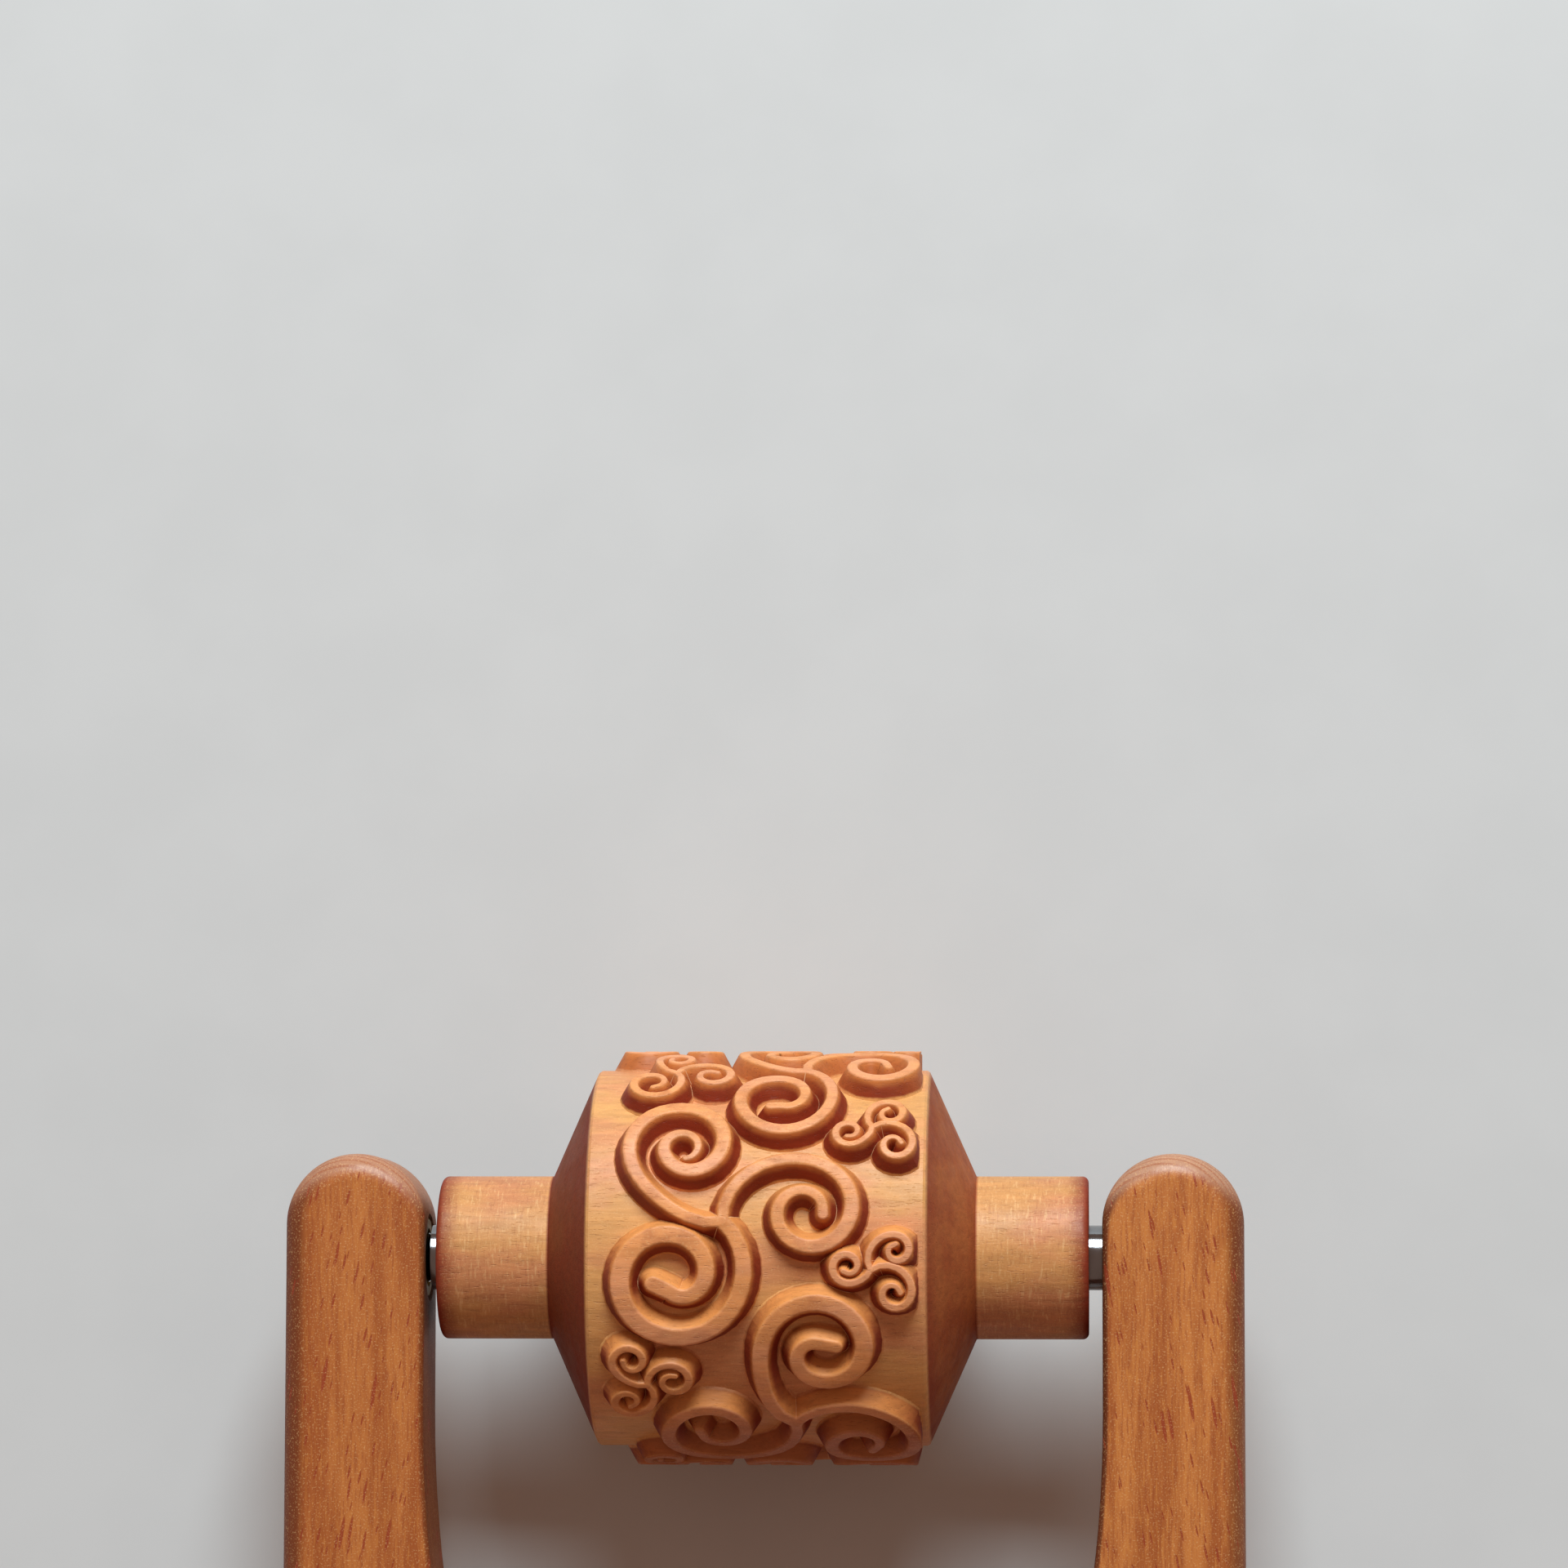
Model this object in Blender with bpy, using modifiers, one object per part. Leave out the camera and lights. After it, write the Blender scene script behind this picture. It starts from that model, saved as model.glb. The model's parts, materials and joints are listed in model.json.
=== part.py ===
"""Clay texture roller: a carved wooden drum that spins on a steel axle between the arms of a beech yoke,
with a turned beech grip behind it.

Metres, +Z up. X runs along the axle and the grip points to -Y. The tool lies on the table on the ridges of
its drum and on the belly of its grip, with the origin under the middle of its bounding box.
"""

import math

import bmesh
import bpy

# Drum: turned wood, chamfered down to a stub at each end
FACE_WIDTH = 0.032
GROUND_RADIUS = 0.0182
CHAMFER_LENGTH = 0.0046
STUB_RADIUS = 0.0079
STUB_LENGTH = 0.0109
STUB_ROUND = 0.0006
DRUM_BORE_RADIUS = 0.0040

# Relief: raised triple spirals carved round the printing face
RELIEF_HEIGHT = 0.0019
RIDGE_LEAST_HALF_WIDTH = 0.00016
RIDGE_WIDTH_SHARE = 0.088
RIDGE_DRAFT = math.radians(12.0)
RIDGE_ROOT = 0.0005
ARM_HEIGHT_STEP = 0.00002
LARGE_CURL_SHARE = 0.07
LARGE_CURL_TURNS = 1.6
SMALL_CURL_TURNS = 1.1
CURL_EYE_SHARE = 0.36
CURL_HOLD_TURNS = 0.4
CURL_WIND_TURNS = 1.2
ARM_APPROACH_TURNS = (0.10, 0.18, 0.20)
ARM_APPROACH_POWER = 1.5
LARGE_CURL_STEPS_A_TURN = 8
SMALL_CURL_STEPS_A_TURN = 6
ARM_END_SHARE = 0.45

# Each row is one triple spiral: its junction, then its three curls. A place is a share of the face width
# from the middle and a share of a turn from the top, and a curl's third number is its radius as a share
# of the face width.
SPIRAL_SHARES = (
    ((-0.094, -0.018), (-0.216, -0.078, 0.159), (0.150, -0.028, 0.141), (-0.234, 0.029, 0.163)),
    ((0.141, -0.168), (0.062, -0.212, 0.119), (0.344, -0.181, 0.116), (0.075, -0.128, 0.128)),
    ((-0.250, -0.164), (-0.256, -0.191, 0.053), (-0.147, -0.161, 0.059), (-0.316, -0.149, 0.066)),
    ((0.344, -0.097), (0.278, -0.092, 0.044), (0.391, -0.111, 0.047), (0.412, -0.082, 0.050)),
    ((0.344, 0.019), (0.278, 0.017, 0.047), (0.416, 0.004, 0.044), (0.412, 0.036, 0.050)),
    ((0.113, 0.154), (0.181, 0.084, 0.159), (0.319, 0.184, 0.144), (-0.125, 0.171, 0.147)),
    ((-0.322, 0.113), (-0.372, 0.093, 0.053), (-0.250, 0.109, 0.053), (-0.378, 0.130, 0.050)),
    ((-0.263, 0.250), (-0.291, 0.225, 0.055), (-0.159, 0.246, 0.053), (-0.322, 0.268, 0.062)),
    ((0.237, 0.291), (0.059, 0.249, 0.097), (0.369, 0.259, 0.084), (0.188, 0.329, 0.100)),
    ((-0.191, 0.344), (-0.322, 0.329, 0.066), (-0.100, 0.313, 0.066), (-0.156, 0.371, 0.081)),
    ((-0.291, 0.428), (-0.322, 0.397, 0.059), (-0.184, 0.424, 0.056), (-0.347, 0.443, 0.062)),
    ((-0.056, 0.469), (-0.141, 0.463, 0.041), (-0.016, 0.448, 0.041), (-0.016, 0.483, 0.047)),
    ((0.244, 0.435), (0.113, 0.396, 0.084), (0.369, 0.416, 0.078), (0.178, 0.466, 0.091)),
    ((-0.022, 0.591), (-0.212, 0.538, 0.131), (0.200, 0.553, 0.125), (-0.078, 0.653, 0.134)),
    ((-0.294, -0.255), (-0.322, -0.280, 0.056), (-0.197, -0.250, 0.056), (-0.359, -0.238, 0.062)),
    ((0.294, -0.313), (0.175, -0.353, 0.072), (0.403, -0.336, 0.072), (0.237, -0.279, 0.078)),
    ((0.381, -0.249), (0.319, -0.244, 0.041), (0.428, -0.264, 0.044), (0.434, -0.234, 0.044)),
    ((-0.353, -0.352), (-0.403, -0.372, 0.050), (-0.281, -0.356, 0.050), (-0.409, -0.336, 0.050)),
)

# Axle, its threaded stud and the bushes that run on it
AXLE_RADIUS = 0.00315
AXLE_EDGE = 0.0004
AXLE_RECESS = 0.0003
SLOT_WIDTH = 0.0012
SLOT_DEPTH = 0.0014
STUD_RADIUS = 0.0024
STUD_LENGTH = 0.0085
INSERT_WALL = 0.0014
INSERT_LENGTH = 0.0095
BUSH_WALL = 0.0013
BUSH_LENGTH = 0.010
BUSH_RECESS = 0.0002
RUNNING_CLEARANCE = 0.0001
THREAD_CLEARANCE = 0.00015
AXLE_HOLE_CLEARANCE = 0.00015
SEAT_GAP = 0.0003

# Yoke: a U cut from beech board, its corners routed round
END_FLOAT = 0.0013
ARM_WIDTH = 0.0137
BOARD_THICKNESS = 0.012
ARM_REACH = 0.010
THROAT_STRAIGHT = 0.015
THROAT_DEPTH = 0.080
OUTER_STRAIGHT = 0.032
SEAT_DEPTH = 0.097
SEAT_HALF_WIDTH = 0.013
OUTER_EDGE_ROUND = 0.0026
INNER_EDGE_ROUND = 0.0006
INSERT_HOLE_BOTTOM = 0.0006

# Grip and the dowel that joins it to the yoke
GRIP_LENGTH = 0.075
GRIP_RADIUS = 0.0135
GRIP_FRONT_EDGE = 0.0006
DOWEL_RADIUS = 0.004
DOWEL_EDGE = 0.0007
DOWEL_IN_YOKE = 0.0125
DOWEL_IN_GRIP = 0.021

# Stations of the turned grip: how far back as a share of its length, and the radius as a share of its belly
GRIP_SHARES = (
    (0.000, 0.66),
    (0.070, 0.67),
    (0.200, 0.62),
    (0.420, 0.82),
    (0.660, 1.00),
    (0.850, 0.95),
    (0.960, 0.78),
    (1.000, 0.50),
)

# Facets
TURN_STEPS = 32
DRUM_STEPS = 24
ROUND_END_STEPS = 10
THROAT_STEPS = 12
GRIP_STEPS_A_STATION = 3
EDGE_SEGMENTS = 3
CUT_OVERRUN = 0.001
WELD_DISTANCE = 0.000001
FLAT_ANGLE = math.radians(1.0)

# Worked out from the sizes above
RELIEF_RADIUS = GROUND_RADIUS + RELIEF_HEIGHT
DRUM_HALF_LENGTH = FACE_WIDTH / 2 + CHAMFER_LENGTH + STUB_LENGTH
BUSH_BORE_RADIUS = AXLE_RADIUS + RUNNING_CLEARANCE
BUSH_RADIUS = BUSH_BORE_RADIUS + BUSH_WALL
INSERT_BORE_RADIUS = STUD_RADIUS + THREAD_CLEARANCE
INSERT_RADIUS = INSERT_BORE_RADIUS + INSERT_WALL
ARM_INNER = DRUM_HALF_LENGTH + END_FLOAT
ARM_OUTER = ARM_INNER + ARM_WIDTH

COLOURS = {
    # name: base colour, roughness, metallic
    "carved_wood": ((0.62, 0.30, 0.12, 1.0), 0.45, 0.0),
    "beech": ((0.55, 0.25, 0.10, 1.0), 0.40, 0.0),
    "dowel_wood": ((0.70, 0.50, 0.32, 1.0), 0.60, 0.0),
    "polished_steel": ((0.62, 0.62, 0.63, 1.0), 0.15, 1.0),
    "brass": ((0.78, 0.58, 0.28, 1.0), 0.30, 1.0),
    "bronze": ((0.60, 0.40, 0.20, 1.0), 0.40, 1.0),
}


def clear_scene():
    """Start from an empty scene."""
    for obj in list(bpy.data.objects):
        bpy.data.objects.remove(obj)


def make_collection(name):
    """A collection linked to the scene."""
    collection = bpy.data.collections.new(name)
    bpy.context.scene.collection.children.link(collection)
    return collection


def make_material(name):
    """A Principled material from the colour list."""
    colour, roughness, metallic = COLOURS[name]
    material = bpy.data.materials.new(name)
    material.use_nodes = True
    shader = material.node_tree.nodes["Principled BSDF"]
    shader.inputs["Base Color"].default_value = colour
    shader.inputs["Roughness"].default_value = roughness
    shader.inputs["Metallic"].default_value = metallic
    material.diffuse_color = colour
    return material


def make_empty(name, collection, axis_y, tilt=0.0):
    """An empty on the axle's axis, turned about it by the tilt."""
    empty = bpy.data.objects.new(name, None)
    empty.location = (0, axis_y, RELIEF_RADIUS)
    empty.rotation_euler = (tilt, 0, 0)
    collection.objects.link(empty)
    return empty


def add_object(name, mesh, collection, parent, location=(0, 0, 0), rotation=(0, 0, 0)):
    """Link a mesh object in the frame of its parent empty."""
    obj = bpy.data.objects.new(name, mesh)
    obj.location = location
    obj.rotation_euler = rotation
    obj.parent = parent
    collection.objects.link(obj)
    return obj


def mark_cutter(obj):
    """Show an operand as wire and keep it out of renders."""
    obj.hide_render = True
    obj.display_type = "WIRE"


def add_screw(obj, steps):
    """Turn the profile round its local Z axis."""
    screw = obj.modifiers.new("turned", "SCREW")
    screw.axis = "Z"
    screw.angle = math.tau
    screw.steps = steps
    screw.render_steps = steps
    screw.use_merge_vertices = True
    screw.merge_threshold = WELD_DISTANCE
    screw.use_smooth_shade = True


def add_boolean(obj, operand, operation, self_crossing=False):
    """Join or cut with the exact solver."""
    boolean = obj.modifiers.new(operand.name, "BOOLEAN")
    boolean.operation = operation
    boolean.solver = "EXACT"
    boolean.use_self = self_crossing
    boolean.object = operand


def turned(name, profile, collection, parent, rotation, location=(0, 0, 0), closed=False, steps=TURN_STEPS):
    """A turned piece from (radius, height) points that run down its outer side."""
    mesh = bpy.data.meshes.new(name)
    points = [(radius, 0, height) for radius, height in profile]
    edges = [(i, i + 1) for i in range(len(points) - 1)]
    if closed:
        edges.append((len(points) - 1, 0))
    mesh.from_pydata(points, edges, [])
    obj = add_object(name, mesh, collection, parent, location, rotation)
    add_screw(obj, steps)
    return obj


# A turned piece lies along the axle with its local Z on +X, or along the grip with its local Z on +Y
ALONG_AXLE = (0, math.radians(90.0), 0)
ALONG_GRIP = (math.radians(-90.0), 0, 0)


def quarter_arc(centre_radius, centre_height, rounding, start, steps=3):
    """Points of a rounded edge, a quarter turn down from the start angle."""
    points = []
    for i in range(steps + 1):
        angle = start - math.pi / 2 * i / steps
        place = (centre_radius + rounding * math.cos(angle), centre_height + rounding * math.sin(angle))
        points.append(place)
    return points


def drum_profile():
    """Outer side of the drum from one stub end to the other, then back through its stepped bore."""
    half_face = FACE_WIDTH / 2
    chamfer_end = half_face + CHAMFER_LENGTH
    seat_radius = BUSH_RADIUS + SEAT_GAP
    seat_end = DRUM_HALF_LENGTH - BUSH_RECESS - BUSH_LENGTH - SEAT_GAP
    corner_radius = STUB_RADIUS - STUB_ROUND
    corner_height = DRUM_HALF_LENGTH - STUB_ROUND
    top = quarter_arc(corner_radius, corner_height, STUB_ROUND, math.pi / 2)
    bottom = quarter_arc(corner_radius, -corner_height, STUB_ROUND, 0.0)
    sides = [(STUB_RADIUS, chamfer_end), (GROUND_RADIUS, half_face)]
    sides += [(GROUND_RADIUS, -half_face), (STUB_RADIUS, -chamfer_end)]
    bore = [
        (seat_radius, -DRUM_HALF_LENGTH),
        (seat_radius, -seat_end),
        (DRUM_BORE_RADIUS, -seat_end),
        (DRUM_BORE_RADIUS, seat_end),
        (seat_radius, seat_end),
        (seat_radius, DRUM_HALF_LENGTH),
    ]
    return top + sides + bottom + bore


def curl_line(junction, curl, approach, turns, steps):
    """Middle line of one spiral arm, from the junction into the eye of its curl, unrolled flat."""
    across, around, radius = curl
    reach = math.hypot(junction[0] - across, junction[1] - around)
    start = math.atan2(junction[1] - around, junction[0] - across)
    line = []
    for i in range(steps + 1):
        turned_by = turns * i / steps
        wound = min(max((turned_by - CURL_HOLD_TURNS) / CURL_WIND_TURNS, 0.0), 1.0)
        closing = CURL_EYE_SHARE + (1 - CURL_EYE_SHARE) * (1 + math.cos(math.pi * wound)) / 2
        run_in = (reach - radius) * math.exp(-((turned_by / approach) ** ARM_APPROACH_POWER))
        distance = radius * closing + run_in
        angle = start + math.tau * turned_by
        line.append((across + distance * math.cos(angle), around + distance * math.sin(angle)))
    return line


def with_round_ends(line, half_width):
    """Give the line's sections their half widths, and one narrower section beyond each end."""
    sections = [(point, half_width) for point in line]
    for end, inner, where in ((line[0], line[1], 0), (line[-1], line[-2], len(sections) + 1)):
        run = math.hypot(end[0] - inner[0], end[1] - inner[1])
        step = half_width / run
        beyond = (end[0] + (end[0] - inner[0]) * step, end[1] + (end[1] - inner[1]) * step)
        sections.insert(where, (beyond, half_width * ARM_END_SHARE))
    return sections


def on_drum(across, around, radius):
    """A point of the unrolled face on the drum, whose local Z is its axis and local -X its top."""
    angle = around / RELIEF_RADIUS
    return (-radius * math.cos(angle), -radius * math.sin(angle), across)


def add_ridge(bm, line, half_width, top_radius):
    """Loft one ridge with sloping walls along its middle line, from under the ground to its top."""
    root_radius = GROUND_RADIUS - RIDGE_ROOT
    spread = (top_radius - root_radius) * math.tan(RIDGE_DRAFT)
    sections = with_round_ends(line, half_width)
    rings = []
    for i, (point, half) in enumerate(sections):
        before = sections[max(i - 1, 0)][0]
        after = sections[min(i + 1, len(sections) - 1)][0]
        run = math.hypot(after[0] - before[0], after[1] - before[1])
        side = (-(after[1] - before[1]) / run, (after[0] - before[0]) / run)
        ring = []
        for offset, radius in (
            (-half - spread, root_radius),
            (-half, top_radius),
            (half, top_radius),
            (half + spread, root_radius),
        ):
            place = on_drum(point[0] + side[0] * offset, point[1] + side[1] * offset, radius)
            ring.append(bm.verts.new(place))
        rings.append(ring)
    for first, second in zip(rings, rings[1:]):
        for i in range(len(first)):
            j = (i + 1) % len(first)
            bm.faces.new((first[i], first[j], second[j], second[i]))
    bm.faces.new(list(reversed(rings[0])))
    bm.faces.new(rings[-1])


def relief_mesh():
    """All the ridges of the relief, as closed lofts that cross where arms meet."""
    turn_length = math.tau * RELIEF_RADIUS
    bm = bmesh.new()
    for junction_share, *curl_shares in SPIRAL_SHARES:
        junction = (junction_share[0] * FACE_WIDTH, junction_share[1] * turn_length)
        for arm, (across_share, around_share, radius_share) in enumerate(curl_shares):
            curl = (across_share * FACE_WIDTH, around_share * turn_length, radius_share * FACE_WIDTH)
            large = radius_share > LARGE_CURL_SHARE
            turns = LARGE_CURL_TURNS if large else SMALL_CURL_TURNS
            steps_a_turn = LARGE_CURL_STEPS_A_TURN if large else SMALL_CURL_STEPS_A_TURN
            line = curl_line(junction, curl, ARM_APPROACH_TURNS[arm], turns, round(turns * steps_a_turn))
            half_width = RIDGE_LEAST_HALF_WIDTH + RIDGE_WIDTH_SHARE * curl[2]
            add_ridge(bm, line, half_width, RELIEF_RADIUS - ARM_HEIGHT_STEP * arm)
    bmesh.ops.recalc_face_normals(bm, faces=bm.faces)
    mesh = bpy.data.meshes.new("relief")
    bm.to_mesh(mesh)
    bm.free()
    return mesh


def make_texture_roller(parts, cutters, roller_axis):
    """The carved drum: turned body with the relief grown from its printing face."""
    profile = drum_profile()
    drum = turned("texture_roller", profile, parts, roller_axis, ALONG_AXLE, closed=True, steps=DRUM_STEPS)
    relief = add_object("relief", relief_mesh(), cutters, roller_axis, rotation=ALONG_AXLE)
    mark_cutter(relief)
    add_boolean(drum, relief, "UNION", self_crossing=True)
    drum.data.materials.append(make_material("carved_wood"))
    return drum


def ring_profile(radius, bore_radius, high, low):
    """Section of a plain ring between two heights."""
    return [(radius, high), (radius, low), (bore_radius, low), (bore_radius, high)]


def make_bush(side_name, side, parts, roller_axis):
    """A plain bronze bush, pressed into one stub of the drum."""
    half = BUSH_LENGTH / 2
    middle = side * (DRUM_HALF_LENGTH - BUSH_RECESS - half)
    profile = ring_profile(BUSH_RADIUS, BUSH_BORE_RADIUS, half, -half)
    name = "roller_bush_" + side_name
    bush = turned(name, profile, parts, roller_axis, ALONG_AXLE, (middle, 0, 0), closed=True)
    bush.data.materials.append(make_material("bronze"))
    return bush


def make_axle(parts, cutters, handle_frame):
    """The steel axle: a rod slotted at its outer end, with a threaded stud at the other."""
    outer_end = ARM_OUTER - AXLE_RECESS
    shoulder = -ARM_INNER + SEAT_GAP
    stud_end = shoulder - STUD_LENGTH
    profile = [
        (0, outer_end),
        (AXLE_RADIUS - AXLE_EDGE, outer_end),
        (AXLE_RADIUS, outer_end - AXLE_EDGE),
        (AXLE_RADIUS, shoulder),
        (STUD_RADIUS, shoulder),
        (STUD_RADIUS, stud_end + AXLE_EDGE),
        (STUD_RADIUS - AXLE_EDGE, stud_end),
        (0, stud_end),
    ]
    axle = turned("axle", profile, parts, handle_frame, ALONG_AXLE)
    axle.data.materials.append(make_material("polished_steel"))
    slot = box_cutter("axle_slot", cutters, handle_frame)
    slot.scale = (SLOT_DEPTH + CUT_OVERRUN, AXLE_RADIUS * 2 + CUT_OVERRUN, SLOT_WIDTH)
    slot.location = (outer_end + (CUT_OVERRUN - SLOT_DEPTH) / 2, 0, 0)
    add_boolean(axle, slot, "DIFFERENCE")
    return axle


def box_cutter(name, cutters, parent):
    """A unit cube that its scale sizes."""
    bm = bmesh.new()
    bmesh.ops.create_cube(bm, size=1.0)
    mesh = bpy.data.meshes.new(name)
    bm.to_mesh(mesh)
    bm.free()
    cutter = add_object(name, mesh, cutters, parent)
    mark_cutter(cutter)
    return cutter


def cylinder_cutter(name, radius, low, high, rotation, cutters, parent):
    """A cylinder between two heights on its local Z axis, for drilling."""
    profile = [(0, high), (radius, high), (radius, low), (0, low)]
    cutter = turned(name, profile, cutters, parent, rotation)
    mark_cutter(cutter)
    return cutter


def make_axle_insert(parts, handle_frame):
    """The threaded brass insert that the axle's stud screws into."""
    face = -ARM_INNER - SEAT_GAP / 2
    back = face - INSERT_LENGTH
    profile = ring_profile(INSERT_RADIUS, INSERT_BORE_RADIUS, face, back)
    insert = turned("axle_insert", profile, parts, handle_frame, ALONG_AXLE, closed=True)
    insert.data.materials.append(make_material("brass"))
    return insert


def half_outline():
    """Right half of the yoke's outline: the throat and the arm's inner side, then the rest to the seat."""
    end_radius = ARM_WIDTH / 2
    end_centre = ((ARM_INNER + ARM_OUTER) / 2, ARM_REACH - end_radius)
    throat_rise = THROAT_DEPTH - THROAT_STRAIGHT
    seat_angle = math.asin(SEAT_HALF_WIDTH / ARM_OUTER)
    outer_rise = (SEAT_DEPTH - OUTER_STRAIGHT) / math.cos(seat_angle)
    throat = []
    for i in range(THROAT_STEPS + 1):
        angle = math.pi / 2 * i / THROAT_STEPS
        throat.append((ARM_INNER * math.sin(angle), -THROAT_STRAIGHT - throat_rise * math.cos(angle)))
    throat.append((ARM_INNER, end_centre[1]))
    outside = []
    for i in range(1, ROUND_END_STEPS + 1):
        angle = math.pi - math.pi * i / ROUND_END_STEPS
        place = (end_centre[0] + end_radius * math.cos(angle), end_centre[1] + end_radius * math.sin(angle))
        outside.append(place)
    for i in range(THROAT_STEPS + 1):
        angle = math.pi / 2 - (math.pi / 2 - seat_angle) * i / THROAT_STEPS
        outside.append((ARM_OUTER * math.sin(angle), -OUTER_STRAIGHT - outer_rise * math.cos(angle)))
    return throat, outside


def yoke_mesh():
    """The U-shaped board, with the rounding of each rim edge stored as its bevel weight."""
    throat, outside = half_outline()
    right = throat + outside
    outline = right + [(-x, y) for x, y in reversed(right[1:])]
    curve = bpy.data.curves.new("yoke_outline", "CURVE")
    curve.dimensions = "2D"
    curve.fill_mode = "BOTH"
    curve.extrude = BOARD_THICKNESS / 2
    spline = curve.splines.new("POLY")
    spline.points.add(len(outline) - 1)
    for point, (x, y) in zip(spline.points, outline):
        point.co = (x, y, 0, 1)
    spline.use_cyclic_u = True
    guide = bpy.data.objects.new("yoke_outline", curve)
    bpy.context.scene.collection.objects.link(guide)
    evaluated = guide.evaluated_get(bpy.context.evaluated_depsgraph_get())
    mesh = bpy.data.meshes.new_from_object(evaluated)
    bpy.data.objects.remove(guide)
    weigh_rim(mesh, throat)
    return mesh


def weigh_rim(mesh, throat):
    """Weld the board, make each flat face whole and give its rim edges their bevel weights."""
    bm = bmesh.new()
    bm.from_mesh(mesh)
    bmesh.ops.remove_doubles(bm, verts=bm.verts, dist=WELD_DISTANCE)
    bmesh.ops.dissolve_limit(bm, angle_limit=FLAT_ANGLE, verts=bm.verts, edges=bm.edges)
    bmesh.ops.recalc_face_normals(bm, faces=bm.faces)
    weight = bm.edges.layers.float.new("bevel_weight_edge")
    for edge in bm.edges:
        first, second = edge.verts
        if abs(first.co.z - second.co.z) < WELD_DISTANCE:
            in_throat = is_on_line(first.co, throat) and is_on_line(second.co, throat)
            edge[weight] = INNER_EDGE_ROUND / OUTER_EDGE_ROUND if in_throat else 1.0
    bm.to_mesh(mesh)
    bm.free()


def is_on_line(place, points):
    """Whether a place is over one of the points, on either side of the middle."""
    return any(math.hypot(abs(place.x) - x, place.y - y) < WELD_DISTANCE for x, y in points)


def make_yoke(parts, cutters, handle_frame):
    """The yoke: its routed board, drilled for the axle, the insert and the dowel."""
    yoke = add_object("yoke", yoke_mesh(), parts, handle_frame)
    yoke.data.materials.append(make_material("beech"))
    bevel = yoke.modifiers.new("routed_edges", "BEVEL")
    bevel.limit_method = "WEIGHT"
    bevel.width = OUTER_EDGE_ROUND
    bevel.segments = EDGE_SEGMENTS
    insert_end = -ARM_INNER - SEAT_GAP / 2 - INSERT_LENGTH - INSERT_HOLE_BOTTOM
    dowel_end = -SEAT_DEPTH + DOWEL_IN_YOKE + SEAT_GAP
    holes = (
        ("axle_hole", AXLE_RADIUS + AXLE_HOLE_CLEARANCE, 0, ARM_OUTER + CUT_OVERRUN, ALONG_AXLE),
        ("insert_hole", INSERT_RADIUS + SEAT_GAP, insert_end, 0, ALONG_AXLE),
        ("dowel_hole", DOWEL_RADIUS + SEAT_GAP, -SEAT_DEPTH - CUT_OVERRUN, dowel_end, ALONG_GRIP),
    )
    for name, radius, low, high, direction in holes:
        add_boolean(yoke, cylinder_cutter(name, radius, low, high, direction, cutters, handle_frame), "DIFFERENCE")
    return yoke


def smooth_through(stations, steps):
    """Points on a smooth curve through the stations."""
    points = []
    last = len(stations) - 1
    for i in range(last):
        before = stations[max(i - 1, 0)]
        start = stations[i]
        end = stations[i + 1]
        after = stations[min(i + 2, last)]
        for k in range(steps):
            t = k / steps
            point = []
            for a, b, c, d in zip(before, start, end, after):
                bend = (c - a) * t + (2 * a - 5 * b + 4 * c - d) * t * t + (3 * b - a - 3 * c + d) * t ** 3
                point.append(b + bend / 2)
            points.append(tuple(point))
    points.append(stations[last])
    return points


def grip_outline():
    """The turned grip's (radius, distance behind the axle) points, from its front face to its butt."""
    front = SEAT_DEPTH + SEAT_GAP
    length = GRIP_LENGTH - SEAT_GAP
    outline = []
    for back_share, radius_share in smooth_through(GRIP_SHARES, GRIP_STEPS_A_STATION):
        outline.append((GRIP_RADIUS * radius_share, front + length * back_share))
    return outline


def lying_tilt(outline):
    """How far the handle drops behind the axle before its grip meets the table."""
    tilts = []
    for radius, back in outline:
        tilts.append(math.asin(RELIEF_RADIUS / math.hypot(back, radius)) - math.atan2(radius, back))
    return min(tilts)


def make_grip(parts, handle_frame):
    """The turned grip, drilled from its front face for the dowel."""
    outline = grip_outline()
    front_radius, front = outline[0]
    butt = outline[-1][1]
    hole_radius = DOWEL_RADIUS + SEAT_GAP
    hole_end = SEAT_DEPTH + DOWEL_IN_GRIP + SEAT_GAP
    profile = [(0, -hole_end), (hole_radius, -hole_end), (hole_radius, -front)]
    profile += [(front_radius - GRIP_FRONT_EDGE, -front), (front_radius, -front - GRIP_FRONT_EDGE)]
    profile += [(radius, -back) for radius, back in outline[1:]]
    profile.append((0, -butt))
    grip = turned("grip", profile, parts, handle_frame, ALONG_GRIP)
    grip.data.materials.append(make_material("beech"))
    return grip


def make_dowel(parts, handle_frame):
    """The hidden dowel that is glued into the yoke and the grip."""
    front = -SEAT_DEPTH + DOWEL_IN_YOKE
    back = -SEAT_DEPTH - DOWEL_IN_GRIP
    profile = [
        (0, front),
        (DOWEL_RADIUS - DOWEL_EDGE, front),
        (DOWEL_RADIUS, front - DOWEL_EDGE),
        (DOWEL_RADIUS, back + DOWEL_EDGE),
        (DOWEL_RADIUS - DOWEL_EDGE, back),
        (0, back),
    ]
    dowel = turned("handle_dowel", profile, parts, handle_frame, ALONG_GRIP)
    dowel.data.materials.append(make_material("dowel_wood"))
    return dowel


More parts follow.
